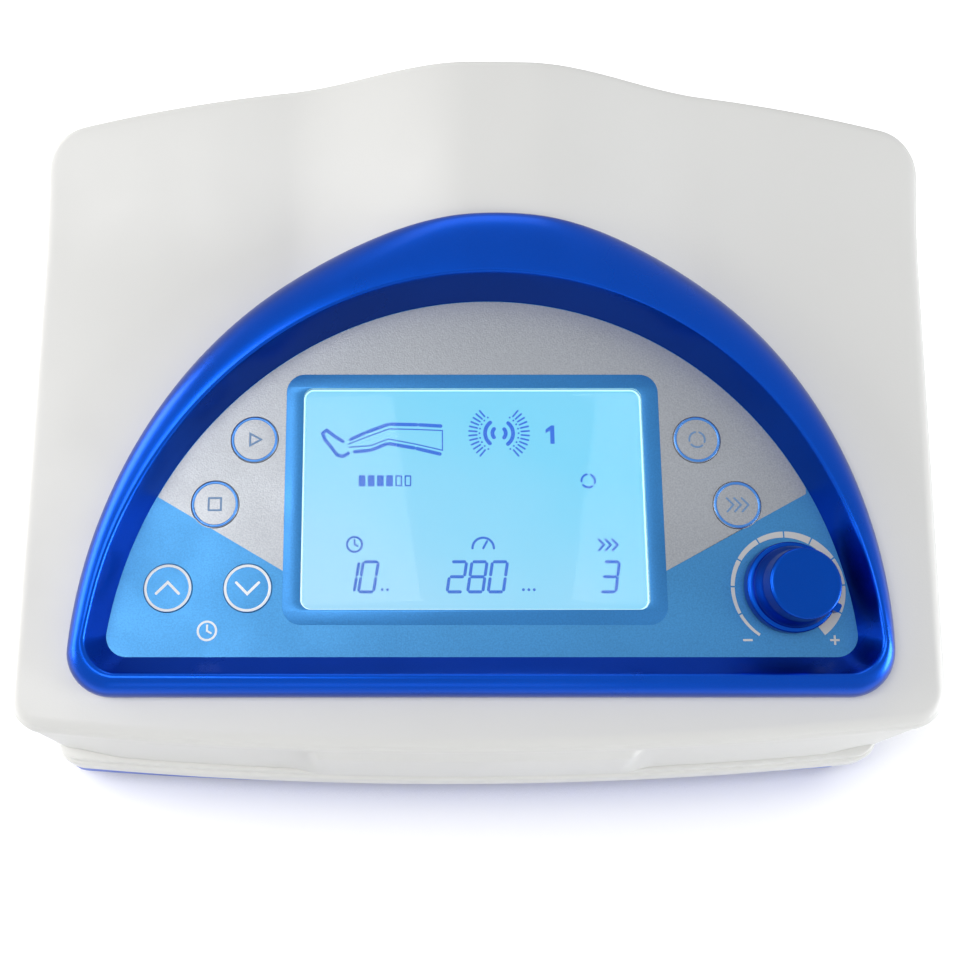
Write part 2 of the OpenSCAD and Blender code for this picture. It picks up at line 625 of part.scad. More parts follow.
// ---- power supply -------------------------------------------------------
board_z = 9;
board_a = [-100, -78];
board_b = [34, -20];
board_posts = [for (x = [board_a.x + 5, board_b.x - 5], y = [board_a.y + 5, board_b.y - 5]) [x, y]];
board_up = board_z + pcb_t;
module power_board() {
  color("seagreen") {
    box([board_a.x, board_a.y, board_z], [board_b.x, board_b.y, board_up]);
    box([-40, -74, board_up], [-22, -60, board_up + 14]);
    box([-18, -74, board_up], [0, -60, board_up + 14]);
    box([15, -56, board_up], [31, -36, board_up + 9]);
    box([-84, -34, board_up], [-64, -26, board_up + 10]);
  }
}
module capacitors() {
  color("navy") for (p = [[-48, -44, 8, 24], [-28, -44, 8, 24], [-66, -51, 5, 18]])
    translate([p.x, p.y, board_up]) cylinder(r = p[2], h = p[3]);
}
module mains_fuse() {
  color("lightgray") {
    rod([-92, -62, board_up + 6], "x", 2.6, 20);
    for (x = [-92, -77]) box([x, -65, board_up], [x + 5, -59, board_up + 4]);
  }
}
coil_mid = [72, -44];
module transformer_core() {
  color("slategray") difference() {
    box([coil_mid.x - 24, coil_mid.y - 10, floor_top], [coil_mid.x + 24, coil_mid.y + 10, floor_top + 38]);
    for (s = [-1, 1]) translate([coil_mid.x + 12 * s, 0, 0])
      box([-5, coil_mid.y - 11, floor_top + 8], [5, coil_mid.y + 11, floor_top + 30]);
  }
}
module transformer_coil() {
  color("goldenrod") difference() {
    box([coil_mid.x - 16.8, coil_mid.y - 18, floor_top + 8.2], [coil_mid.x + 16.8, coil_mid.y + 18, floor_top + 29.8]);
    box([coil_mid.x - 7, coil_mid.y - 10.1, floor_top], [coil_mid.x + 7, coil_mid.y + 10.1, floor_top + 38]);
    for (s = [-1, 1]) translate([coil_mid.x + 20.7 * s, 0, 0])
      box([-3.9, coil_mid.y - 10.1, floor_top], [3.9, coil_mid.y + 10.1, floor_top + 38]);
  }
}
module ribbon_cable() {
  // Flat strip from the power board up to the control board, drawn as its side profile
  b = to_case([0, 44, pcb_top - pcb_t]);
  bend = [[-46, board_up], [-52, 22], [-34, 30], [b.y, b.z - 8], [b.y, b.z]];
  color("gray") translate([panel_o.x - 12, 0, 0]) rotate([90, 0, 90]) linear_extrude(24)
    polygon(concat(bend, [for (i = [len(bend) - 1:-1:0]) bend[i] + [1.2, 0]]));
}
module mains_wires() {
  color("saddlebrown") for (s = [-1, 1]) tube([
    [inlet_x + 7 * s, pin_low, rear_z + 1], [inlet_x + 7 * s, pin_low - 2, rear_z + 1],
    [inlet_x + 6 * s, pin_low - 3.4, 60], [inlet_x + 5 * s, 46, 64], [inlet_x + 5 * s, 10, 62],
    [inlet_x + 4 * s, -8, 58], [inlet_x + 3 * s, -18, 48], [inlet_x - 20 + 4 * s, -24, 30],
    [-74 + 4 * s, -30, board_up + 14], [-74 + 4 * s, -30, board_up + 10]], 1.4);
}

// ---- air pump -----------------------------------------------------------
pump = [-38, 24, 36];   // middle of the armature
pump_low = 12;
mount_at = [for (x = [-36, 36], y = [-20, 20]) [pump.x + x, pump.y + y]];
wall_x = 44;            // end walls, from the middle
module pump_frame() {
  color("lightslategray") difference() {
    union() {
      box([pump.x - 47, pump.y - 26, pump_low], [pump.x + 47, pump.y + 26, pump_low + 3]);
      for (s = [-1, 1]) box(
        [pump.x + s * (wall_x + 1.5) - 1.5, pump.y - 22, pump_low], [pump.x + s * (wall_x + 1.5) + 1.5, pump.y + 22, 57]);
    }
    rod([pump.x - 50, pump.y, pump.z], "x", 14, 100);
    for (p = mount_at) translate([p.x, p.y, pump_low - 1]) cylinder(r = 2, h = 6);
  }
}
module pump_mounts() {
  color("black") for (p = mount_at) translate([p.x, p.y, floor_top]) {
    cylinder(r = 5, h = pump_low - floor_top);
    cylinder(r = 2, h = pump_low - floor_top + 5);
  }
}
module magnet_cores() {
  color("slategray") for (s = [-1, 1]) translate([pump.x, pump.y + 18 * s, pump.z]) difference() {
    box([-17, -7, -pump.z + pump_low + 3], [17, 7, 20]);
    difference() {
      translate([0, -8 * s, 0]) box([-12, -7, -12], [12, 7, 12]);
      box([-4, -20, -8], [4, 20, 8]);
    }
  }
}
module magnet_coils() {
  color("peru") for (s = [-1, 1]) translate([pump.x, pump.y + 14.1 * s, pump.z]) difference() {
    box([-11.8, -2.8, -11.8], [11.8, 2.8, 11.8]);
    box([-4.2, -3, -8.2], [4.2, 3, 8.2]);
  }
}
armature_reach = wall_x + 8.5;
module pump_armature() {
  color("silver") translate(pump) {
    box([-30, -5, -10], [30, 5, 10]);
    rod([-armature_reach, 0, 0], "x", 5, 2 * armature_reach);
    for (s = [-1, 1]) rod([s * (armature_reach - 0.75) - 0.75, 0, 0], "x", 8, 1.5);
  }
}
module pump_diaphragms() {
  color("darkslategray") for (s = [-1, 1]) difference() {
    rod([pump.x + s * (wall_x + 4) - 1, pump.y, pump.z], "x", 18, 2);
    rod([pump.x + s * (wall_x + 4) - 2, pump.y, pump.z], "x", 5 + fit, 4);
  }
}
head_in = wall_x + 5;
module pump_heads() {
  color("gainsboro") for (s = [-1, 1]) difference() {
    union() {
      rod([pump.x + s * (head_in + 6) - 6, pump.y, pump.z], "x", 18, 12);
      rod([pump.x + s * (head_in + 7), pump.y - 26, pump.z], "y", 3.2, 12);
    }
    rod([pump.x + s * (head_in + 3) - 3.01, pump.y, pump.z], "x", 13, 6.02);
    rod([pump.x + s * (head_in + 7), pump.y - 27, pump.z], "y", 1.6, 20);
  }
}
module intake_filter() {
  color("ivory") translate([-100, 58, floor_top]) difference() {
    cylinder(r = 8, h = 24);
    translate([0, 0, 4]) cylinder(r = 4, h = 30);
  }
}

// ---- air distributor ----------------------------------------------------
dist = [66, 20];
motor_z = 8;
motor_h = 18;
rotor_z = 33;
port_z = 44;
port_turn = [150, 120, 90, 60];
inlet_turn = 225;
port_reach = 28;
module distributor_motor() {
  color("darkgray") translate([dist.x, dist.y, motor_z]) difference() {
    cylinder(r = 21, h = motor_h);
    translate([0, 0, motor_h - 7]) cylinder(r = 3 + run, h = 10);
  }
}
module distributor_rotor() {
  color("orange") translate([dist.x, dist.y, 0]) {
    difference() {
      translate([0, 0, rotor_z]) cylinder(r = 17.6, h = 3);
      for (a = [0, 90]) rotate([0, 0, a]) translate([11, 0, rotor_z - 1]) cylinder(r = 3, h = 6);
    }
    translate([0, 0, motor_z + motor_h - 6]) cylinder(r = 3, h = rotor_z + 1 - motor_z - motor_h + 6);
  }
}
module distributor_body() {
  color("gainsboro") translate([dist.x, dist.y, 0]) difference() {
    union() {
      translate([0, 0, 29.5]) cylinder(r = 22, h = 19);
      for (a = [0:120:240]) rotate([0, 0, a + 15]) translate([17, 0, motor_z + motor_h]) cylinder(r = 2.5, h = 4);
      for (a = concat(port_turn, [inlet_turn])) rotate([0, 0, a]) rod([20, 0, port_z], "x", 3.2, port_reach - 20);
    }
    translate([0, 0, rotor_z - fit]) cylinder(r = 18, h = 3 + 2 * fit);
    translate([0, 0, 28]) cylinder(r = 3 + run, h = 6);
    for (a = concat(port_turn, [inlet_turn])) rotate([0, 0, a]) {
      rod([10, 0, port_z], "x", 1.6, 20);
      translate([11, 0, rotor_z + 3]) cylinder(r = 1.5, h = port_z - rotor_z - 3);
    }
  }
}
function port_end(a) = [dist.x + port_reach * cos(a), dist.y + port_reach * sin(a), port_z];
module air_tubes() {
  r = 3;
  lane_y = -9;
  left_x = pump.x - head_in - 7;
  right_x = pump.x + head_in + 7;
  nozzle_y = pump.y - 26;
  color("lightgray") {
    for (k = [0:3]) let (a = port_end(port_turn[k]), d = [cos(port_turn[k]), sin(port_turn[k]), 0])
      tube([a, a + 3 * d, mix(a + 3 * d, [outlet_x[k], socket_in - 4, rear_z], 0.5),
        [outlet_x[k], socket_in - 4, rear_z], [outlet_x[k], socket_in, rear_z]], r);
    tube([[left_x, nozzle_y, pump.z], [left_x, nozzle_y - 4, pump.z], [left_x + 5, lane_y - 1, pump.z],
      [left_x + 12, lane_y - 2, pump.z], [right_x - 8, lane_y - 2, pump.z], [right_x + 12, lane_y - 3, pump.z + 3],
      [port_end(inlet_turn).x - 7, -9, port_z - 1], port_end(inlet_turn) - [3, 3, 0], port_end(inlet_turn)], r);
    tube([[right_x, nozzle_y, pump.z], [right_x, lane_y - 2, pump.z]], r);
  }
}
module pressure_sensor() {
  color("black") {
    box([14, -30, board_up], [26, -22, board_up + 6]);
    translate([20, -26, board_up + 6]) cylinder(r = 1.8, h = 5);
  }
}

upper_case();
lower_case();
base_tray();
rubber_feet();
case_screws();
bezel_ring();
control_panel();
panel_carrier();
panel_screws();
lcd_frame();
lcd_window();
lcd_glass();
lcd_backlight();
control_board();
tact_switches();
buzzer();
start_button();
stop_button();
up_button();
down_button();
mode_button();
speed_button();
start_plunger();
stop_plunger();
up_plunger();
down_plunger();
mode_plunger();
speed_plunger();
pressure_knob();
knob_shaft();
potentiometer();
potentiometer_nut();
rear_panel();
rear_panel_screws();
power_inlet();
inlet_pins();
switch_frame();
switch_rocker();
hose_sockets();
power_board();
capacitors();
mains_fuse();
transformer_core();
transformer_coil();
ribbon_cable();
mains_wires();
pump_frame();
pump_mounts();
magnet_cores();
magnet_coils();
pump_armature();
pump_diaphragms();
pump_heads();
intake_filter();
distributor_body();
distributor_rotor();
distributor_motor();
air_tubes();
pressure_sensor();
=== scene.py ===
import json
import math

import bmesh
import bpy
import numpy as np
from mathutils import Matrix, Vector


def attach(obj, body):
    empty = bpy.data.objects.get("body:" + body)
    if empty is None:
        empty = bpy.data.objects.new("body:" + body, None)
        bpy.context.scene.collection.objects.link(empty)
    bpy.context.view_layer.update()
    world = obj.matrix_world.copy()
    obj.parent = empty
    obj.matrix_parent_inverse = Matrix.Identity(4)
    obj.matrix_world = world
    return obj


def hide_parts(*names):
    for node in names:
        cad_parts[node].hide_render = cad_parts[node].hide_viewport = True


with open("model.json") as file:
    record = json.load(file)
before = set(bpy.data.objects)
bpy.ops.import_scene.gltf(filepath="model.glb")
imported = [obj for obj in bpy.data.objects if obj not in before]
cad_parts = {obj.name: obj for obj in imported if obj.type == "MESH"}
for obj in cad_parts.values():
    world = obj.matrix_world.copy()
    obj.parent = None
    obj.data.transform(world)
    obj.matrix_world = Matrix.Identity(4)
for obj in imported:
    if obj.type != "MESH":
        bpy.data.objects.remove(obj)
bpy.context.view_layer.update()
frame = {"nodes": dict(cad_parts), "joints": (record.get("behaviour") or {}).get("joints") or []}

# A compression therapy pump. Sizes are in millimetres, in the frame of the imported part,
# and become metres where a mesh is made. On the sloping panel, u runs to the right,
# v up the slope and w out of the panel.

# ---- Stage: floor, light and camera -------------------------------------------
# The pump stands on a plain white surface whose glow fades close to it, which is a painted shadow. Soft lamps
# stand high and low at the left, low at the right, behind and in front, in a dim room.
MM = 0.001


def tone(red, green, blue, alpha=1.0):
    """A colour as it shows on a screen, from 0 to 255, as the linear numbers that a shader takes."""
    def linear(c):
        c /= 255
        return c / 12.92 if c < 0.04045 else ((c + 0.055) / 1.055) ** 2.4
    return (linear(red), linear(green), linear(blue), alpha)


def fill(tree, node, inputs):
    """Sets a node's inputs to values, or joins them to the outputs of other nodes."""
    for label, value in inputs.items():
        if isinstance(value, bpy.types.NodeSocket):
            tree.links.new(value, node.inputs[label])
        else:
            node.inputs[label].default_value = value
    return node


def add(tree, kind, inputs=None, **settings):
    """A new node with its settings made and its inputs filled."""
    made = tree.nodes.new(kind)
    for label, value in settings.items():
        setattr(made, label, value)
    return fill(tree, made, inputs or {})


def maths(tree, operation, *values):
    return add(tree, "ShaderNodeMath", dict(enumerate(values)), operation=operation).outputs[0]


def blank(name):
    """A new material and its tree, emptied but for its output."""
    made = bpy.data.materials.new(name)
    made.use_nodes = True
    made.node_tree.nodes.remove(made.node_tree.nodes["Principled BSDF"])
    return made, made.node_tree


def seen_directly(tree):
    """1 for the camera's rays and for those in mirrors and through glass, else 0."""
    path = tree.nodes.new("ShaderNodeLightPath").outputs
    mirrored = maths(tree, "MAXIMUM", path["Is Camera Ray"], path["Is Glossy Ray"])
    return maths(tree, "MAXIMUM", mirrored, path["Is Transmission Ray"])


floor_half = 3.0
floor_z = -0.00005
floor_glow = 0.55
shade_reach = 0.07        # metres from the pump within which the floor's glow fades
shade_full = 0.5          # the openness at which it is gone
floor_mesh = bpy.data.meshes.new("floor")
floor_mesh.from_pydata(
    [(x * floor_half, y * floor_half, floor_z) for x, y in ((-1, -1), (1, -1), (1, 1), (-1, 1))],
    [], [(0, 1, 2, 3)])
floor = bpy.data.objects.new("floor", floor_mesh)
bpy.context.scene.collection.objects.link(floor)
paper, tree = blank("white_paper")
matt = add(tree, "ShaderNodeBsdfDiffuse", {"Color": tone(248, 248, 248)})
# Painted shadow: the floor's glow for the camera fades out where the pump hides the room close by, and only the
# floor's own diffuse light is left there.
openness = add(tree, "ShaderNodeAmbientOcclusion", {"Distance": shade_reach}, samples=8)
painted_shadow_fade = add(tree, "ShaderNodeMapRange", {"Value": openness.outputs["AO"], "From Min": shade_full})
strength = maths(tree, "MULTIPLY", seen_directly(tree), floor_glow)
strength = maths(tree, "MULTIPLY", strength, painted_shadow_fade.outputs[0])
glow = add(tree, "ShaderNodeEmission", {"Strength": strength})
both = add(tree, "ShaderNodeAddShader", {0: matt.outputs[0], 1: glow.outputs[0]})
clear = tree.nodes.new("ShaderNodeBsdfTransparent")
from_below = tree.nodes.new("ShaderNodeNewGeometry").outputs["Backfacing"]
sides = add(tree, "ShaderNodeMixShader", {0: from_below, 1: both.outputs[0], 2: clear.outputs[0]})
fill(tree, tree.nodes["Material Output"], {"Surface": sides.outputs[0]})
floor_mesh.materials.append(paper)

room = bpy.data.worlds.new("room")
bpy.context.scene.world = room
room.use_nodes = True
tree = room.node_tree
room_grey = fill(tree, tree.nodes["Background"], {"Color": tone(240, 242, 246), "Strength": 0.36})
white = add(tree, "ShaderNodeBackground", {"Color": (1, 1, 1, 1)})
pick = add(tree, "ShaderNodeMixShader", {
    0: seen_directly(tree), 1: room_grey.outputs[0], 2: white.outputs[0]})
fill(tree, tree.nodes["World Output"], {"Surface": pick.outputs[0]})
look_at = (0, 0, 0.05)


def soft_lamp(name, place, size, power, colour):
    lamp = bpy.data.lights.new(name, "AREA")
    lamp.shape = "RECTANGLE"
    lamp.size, lamp.size_y = size
    lamp.energy = power
    lamp.color = colour[:3]
    holder = bpy.data.objects.new(name, lamp)
    holder.location = place
    holder.visible_camera = False
    holder.rotation_euler = (Vector(look_at) - Vector(place)).to_track_quat("-Z", "Y").to_euler()
    bpy.context.scene.collection.objects.link(holder)


soft_lamp("key_lamp", (-0.42, -0.14, 1.05), (0.5, 0.5), 4.2, tone(254, 252, 250))
soft_lamp("left_window", (-0.90, 0.12, 0.27), (1.0, 0.36), 7.0, tone(254, 253, 252))
soft_lamp("right_lamp", (0.90, -0.32, 0.22), (0.35, 0.35), 5.5, tone(252, 253, 255))
soft_lamp("rear_lamp", (0.0, 0.95, 0.75), (0.6, 0.4), 1.4, tone(252, 253, 255))
soft_lamp("front_lamp", (-0.10, -1.0, 0.35), (0.6, 0.3), 0.5, tone(252, 253, 255))

photo_px = 960
camera_focus_px = 1064
camera_axis_px = 406.16
camera_tilt = 25.4
camera_data = bpy.data.cameras.new("camera")
camera_data.sensor_width = 36
camera_data.lens = camera_focus_px / photo_px * camera_data.sensor_width
camera_data.shift_x = 0.5 - camera_axis_px / photo_px
camera = bpy.data.objects.new("camera", camera_data)
camera.location = (-0.022277, -0.154765, 0.342847)
camera.rotation_euler = (math.radians(camera_tilt), 0, 0)
bpy.context.scene.collection.objects.link(camera)
bpy.context.scene.camera = camera

# ---- Upper case ----------------------------------------------------------------
# Injection-moulded white ABS in one shell, satin with a fine texture. Its top slopes to
# the front, swells to a ridge at the back and opens where the bezel is set in.
dial = next(j for j in frame["joints"] if j["name"] == "pressure_turn")
panel_w = Vector(dial["axis"])
panel_v = Vector((0, panel_w.z, -panel_w.y))
tilt = math.atan2(panel_v.z, panel_v.y)
knob_u, knob_v = 85.5, 28.8
panel_at = Vector(dial["pos_m"]) / MM - Vector((knob_u, 0, 0)) - knob_v * panel_v
panel_place = Matrix((
    (1, 0, 0, panel_at.x * MM),
    (0, panel_v.y, panel_w.y, panel_at.y * MM),
    (0, panel_v.z, panel_w.z, panel_at.z * MM),
    (0, 0, 0, 1)))
front_t = np.concatenate([
    np.linspace(start, end, count, endpoint=False)
    for start, end, count in ((0, 0.35, 12), (0.35, 0.45, 12), (0.45, 0.86, 12), (0.86, 1, 8))])
n_front, n_corner, n_side, n_rear_corner, n_rear = len(front_t), 14, 18, 14, 60
n_arch = n_side + n_rear_corner + n_rear
n_ring = 2 * (n_front + n_corner + n_arch)


def laid(points):
    """Points (u, v, w) on the panel, taken to the frame of the part."""
    p = np.asarray(points, float)
    return np.c_[
        panel_at.x + p[:, 0],
        panel_at.y + p[:, 1] * panel_v.y + p[:, 2] * panel_w.y,
        panel_at.z + p[:, 1] * panel_v.z + p[:, 2] * panel_w.z]


def smooth(low, high, x):
    t = np.clip((np.asarray(x, float) - low) / (high - low), 0, 1)
    return t * t * (3 - 2 * t)


def arc(centre, radius, start, end, count):
    a = np.radians(start + (end - start) * np.arange(count) / count)
    return np.c_[centre[0] + radius * np.cos(a), centre[1] + radius * np.sin(a)]


def run(start, end, count):
    return np.array(start, float) + np.outer(np.arange(count) / count, np.subtract(end, start))


def both_halves(half):
    return np.vstack([half, half[-2:0:-1] * (-1, 1)])


def case_outline(inset, half_width, front, front_bow, rear, front_corner, rear_corner, off, move, grow):
    """Bowed front, straight sides and bowed rear, anticlockwise from the middle of the front.

    The middle stands off to one side and moves to the right, and the width grows, towards the back.
    """
    corner = max(front_corner - inset, 1)
    f = (half_width - inset - corner,
         front + front_bow - math.sqrt((front_bow - inset - corner) ** 2 - (half_width - inset - corner) ** 2))
    r = (half_width - rear_corner,
         rear - rear_bow + math.sqrt((rear_bow - rear_corner) ** 2 - (half_width - rear_corner) ** 2))
    front_turn = math.degrees(math.atan2(f[1] - front - front_bow, f[0]))
    rear_turn = math.degrees(math.atan2(r[1] - rear + rear_bow, r[0]))
    turn = np.radians(-90 + (front_turn + 90) * front_t)
    bow = np.c_[np.cos(turn), np.sin(turn)] * (front_bow - inset) + (0, front + front_bow)
    p = both_halves(np.vstack([
        bow, arc(f, corner, front_turn, 0, n_corner),
        run((half_width - inset, f[1]), (half_width - inset, r[1]), n_side),
        arc(r, rear_corner - inset, 0, rear_turn, n_rear_corner),
        arc((0, rear - rear_bow), rear_bow - inset, rear_turn, 90, n_rear),
        [[0, rear - inset]]]))
    back = p[:, 1] - rim_front
    return np.c_[front_mid + off + move * back + p[:, 0] * (1 + grow * back / half_width),
                 p[:, 1] + front_turn_share * p[:, 0] * (1 - back / 90)]


rim_front, rim_half, rear_bow = -98, 127.35, 500
front_mid = panel_at.x - 0.7
front_turn_share = 0.0045
hair = 0.02               # the finer curves stay this far inside the part's own flats


def rim_outline(inset):
    return case_outline(inset + hair, rim_half, rim_front, 1225, 91, 9.5, 14, 0, 0.0198, 0.0165)


def half_moon(a, b, middle, bottom, radius):
    """Straight bottom, round corners, and half an ellipse of half axes a and b about middle."""
    t = math.radians(10)
    for _ in range(8):
        turn = math.atan2(math.sin(t) / b, math.cos(t) / a)
        t = math.asin((bottom + radius + radius * math.sin(turn) - middle) / b)
    turn = math.atan2(math.sin(t) / b, math.cos(t) / a)
    corner = (a * math.cos(t) - radius * math.cos(turn), bottom + radius)
    angles = t + (math.pi / 2 - t) * np.arange(n_arch + 1) / n_arch
    return both_halves(np.vstack([
        run((0, bottom), (corner[0], bottom), n_front),
        arc(corner, radius, -90, math.degrees(turn), n_corner),
        np.c_[a * np.cos(angles), middle + b * np.sin(angles)]]))


def leaning(outline, lean, above):
    return np.c_[outline[:, 0] + lean * np.maximum(0, outline[:, 1] - above), outline[:, 1]]


def panel_outline(grow):
    return leaning(half_moon(103.5 + grow, 107.4 + grow, 5, 10 - grow, max(1, 6 + grow)), 0.03, -10)


def lift(u, v):
    """Height of the top over the panel's plane."""
    ridge = 8.2 * (1 - smooth(9, 62, np.abs(u - 7)))
    return 5 * smooth(125, 182, v) + ridge * smooth(60, 100, v)


def on_top(q, above=0.0):
    return laid(np.c_[q, lift(q[:, 0], q[:, 1]) + above])


def over(p):
    """Panel place (u, v) of the top over points of the plan."""
    u, v = p[:, 0] - panel_at.x, (p[:, 1] - panel_at.y) / panel_v.y
    rise = lift(u, v + math.tan(tilt) * lift(u, v))
    return np.c_[u, v + rise * math.tan(tilt)]


def below_top(p, depth):
    """Points of the plan at a depth under the top."""
    return np.c_[p, on_top(over(p))[:, 2] - depth]


def at_height(p, z):
    return np.c_[p, np.full(len(p), z)]


def mix(a, b, t):
    return a + (b - a) * t


def link(name, mesh, material, crease=32):
    """A new piece from a mesh in metres, shaded smooth up to the crease angle."""
    mesh.name = name
    mesh.polygons.foreach_set("use_smooth", [True] * len(mesh.polygons))
    mesh.set_sharp_from_angle(angle=math.radians(crease))
    mesh.materials.clear()
    mesh.materials.append(material)
    made = bpy.data.objects.new(name, mesh)
    bpy.context.scene.collection.objects.link(made)
    return made


def outward(mesh):
    """Merges doubles and turns every face outwards."""
    work = bmesh.new()
    work.from_mesh(mesh)
    bmesh.ops.remove_doubles(work, verts=work.verts, dist=1e-7)
    bmesh.ops.recalc_face_normals(work, faces=work.faces)
    work.to_mesh(mesh)
    work.free()
    return mesh


def ring_mesh(name, rings, closed):
    """Rings of equal length joined into a wall: the last to the first, or with both ends closed."""
    n, m = len(rings[0]), len(rings)
    points = np.vstack(rings) * MM
    faces = [
        (j * n + i, j * n + (i + 1) % n, (j + 1) % m * n + (i + 1) % n, (j + 1) % m * n + i)
        for j in range(m if closed else m - 1) for i in range(n)]
    if not closed:
        faces += [tuple(range(n)), tuple((m - 1) * n + i for i in range(n))]
    mesh = bpy.data.meshes.new(name)
    mesh.from_pydata([tuple(p) for p in points], [], faces)
    return outward(mesh)


def settled(piece):
    """The piece with its modifiers applied, as a plain mesh."""
    graph = bpy.context.evaluated_depsgraph_get()
    mesh = bpy.data.meshes.new_from_object(piece.evaluated_get(graph))
    piece.modifiers.clear()
    old, piece.data = piece.data, mesh
    mesh.name = piece.name
    bpy.data.meshes.remove(old)
    return piece


def cut(piece, tool, keep_tool=False, how="DIFFERENCE"):
    """Cuts a tool out of a piece, or joins or crosses them."""
    boolean = piece.modifiers.new("cut", "BOOLEAN")
    boolean.operation = how
    boolean.solver = "EXACT"
    boolean.object = tool
    settled(piece)
    if not keep_tool:
        bpy.data.objects.remove(tool)
    piece.data.polygons.foreach_set("use_smooth", [True] * len(piece.data.polygons))
    piece.data.set_sharp_from_angle(angle=math.radians(32))
    return piece


def new_tree(name, sockets):
    """A geometry nodes tree with named inputs, and the outputs of its input node."""
    tree = bpy.data.node_groups.new(name, "GeometryNodeTree")
    for label, kind in (("Geometry", "Geometry"), *sockets, ("Material", "Material")):
        tree.interface.new_socket(name=label, in_out="INPUT", socket_type="NodeSocket" + kind)
    tree.interface.new_socket(name="Geometry", in_out="OUTPUT", socket_type="NodeSocketGeometry")
    return tree, tree.nodes.new("NodeGroupInput").outputs


def end_tree(tree, geometry, material):
    """Ends a tree with real geometry in its material."""
    real = add(tree, "GeometryNodeRealizeInstances", {0: geometry})
    painted = add(tree, "GeometryNodeSetMaterial", {"Geometry": real.outputs[0], "Material": material})
    fill(tree, tree.nodes.new("NodeGroupOutput"), {0: painted.outputs[0]})
    return tree


def run_tree(piece, tree, values):
    """Puts a piece through a geometry nodes tree and keeps the result as its plain mesh."""
    nodes = piece.modifiers.new("nodes", "NODES")
    nodes.node_group = tree
    for item in tree.interface.items_tree:
        if item.in_out == "INPUT" and item.name in values:
            nodes[item.identifier] = values[item.name]
    return settled(piece)


def repeat_tree():
    """Geometry nodes that copy a piece Count times, each moved by Step and turned by Turn from the last."""
    tree, given = new_tree("repeat", (("Count", "Int"), ("Step", "Vector"), ("Turn", "Vector")))
    line = add(tree, "GeometryNodeMeshLine", {"Count": given["Count"], "Offset": given["Step"]})
    index = tree.nodes.new("GeometryNodeInputIndex").outputs[0]
    turn = add(tree, "ShaderNodeVectorMath", {0: given["Turn"], "Scale": index}, operation="SCALE")
    copies = add(tree, "GeometryNodeInstanceOnPoints", {
        "Points": line.outputs["Mesh"], "Instance": given["Geometry"], "Rotation": turn.outputs[0]})
    return end_tree(tree, copies.outputs[0], given["Material"])


REPEAT = repeat_tree()


def repeated(piece, count, step=(0, 0, 0), turn=(0, 0, 0)):
    """Copies of a piece in a row or round the origin, steps in millimetres and turns in degrees."""
    return run_tree(piece, REPEAT, {
        "Count": count, "Step": tuple(s * MM for s in step),
        "Turn": tuple(math.radians(t) for t in turn), "Material": piece.data.materials[0]})


def on_body(piece, body, node=None):
    """Rides a piece on a body, in place of the solid that it dresses, if any."""
    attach(piece, body)
    if node:
        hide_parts(node)


def finish(name, colour, rough, metal=0.0, coat=0.0, coat_rough=0.1, drift=0.03, grain_mm=0.35, grain=0.05,
           grain_tone=0.0, rough_drift=0.06, scuffs=0.0):
    """A procedural finish: slow drift of tone, fine grain in the surface, uneven gloss and light scuffs."""
    made = bpy.data.materials.new(name)
    made.use_nodes = True
    tree = made.node_tree
    place = tree.nodes.new("ShaderNodeTexCoord").outputs["Object"]

    def noise(scale, detail, distortion=0.0):
        return add(tree, "ShaderNodeTexNoise", {
            "Vector": place, "Scale": scale, "Detail": detail, "Distortion": distortion}).outputs["Fac"]

    def ramp(value, low, high, start, end):
        return add(tree, "ShaderNodeMapRange", {
            "Value": value, "From Min": low, "From Max": high, "To Min": start, "To Max": end}).outputs[0]

    fine = noise(1000 / grain_mm, 2)
    shown = add(tree, "ShaderNodeMix", {
        "Factor": ramp(noise(14, 3), 0.35, 0.65, 0, 1),
        "A": tuple(c * (1 - drift) for c in colour[:3]) + (1,),
        "B": tuple(min(1, c * (1 + drift)) for c in colour[:3]) + (1,)}, data_type="RGBA").outputs["Result"]
    if grain_tone:
        level = ramp(fine, 0.3, 0.7, 1 - grain_tone, 1 + grain_tone)
        shade = add(tree, "ShaderNodeCombineColor", {"Red": level, "Green": level, "Blue": level}).outputs[0]
        shown = add(tree, "ShaderNodeMix", {"Factor": 1, "A": shown, "B": shade},
                    data_type="RGBA", blend_type="MULTIPLY").outputs["Result"]
    gloss = ramp(noise(45, 4), 0.3, 0.7, max(0.02, rough - rough_drift), rough + rough_drift)
    if scuffs:
        gloss = maths(tree, "ADD", gloss, ramp(noise(220, 6, 1.5), 0.62, 0.72, 0, scuffs))
    bump = add(tree, "ShaderNodeBump", {"Strength": grain, "Distance": grain_mm * MM, "Height": fine})
    fill(tree, tree.nodes["Principled BSDF"], {
        "Base Color": shown, "Metallic": metal, "Roughness": gloss, "Normal": bump.outputs[0],
        "Coat Weight": coat, "Coat Roughness": coat_rough})
    return made


case_white = finish("case_white", tone(226, 226, 223), 0.42, drift=0.012, grain_mm=0.5, grain=0.05,
                    scuffs=0.05)
waist_in, wall, rim_h, rim_r, cavity_in = 2.2, 2.5, 4.8, 3.4, 6
waist_low = 23
bezel_edge = leaning(half_moon(112.1, 125.7, 10, -0.8, 12.5), 0.046, 10)
panel_edge = panel_outline(0)
edge_width = np.linalg.norm(bezel_edge - panel_edge, axis=1)
rim, step = rim_outline(0), rim_outline(1)
front_place = np.r_[front_t, np.full(n_corner + n_arch + 1, 2.0)]
front_place = np.r_[front_place, front_place[-2:0:-1]]


def waist(block_in, near, far, rest, start=0.362, end=0.396):
    """The wall under the rim, set in on the front's block, in the recesses beside it and elsewhere."""
    past_block, past_recess = smooth(start, end, front_place), smooth(0.86, 1.0, front_place)
    recess_in = mix(near, far, np.clip((front_place - end) / (0.93 - end), 0, 1))
    inset = block_in * (1 - past_block) + recess_in * (past_block - past_recess) + rest * past_recess
    return mix(rim, step, inset[:, None])


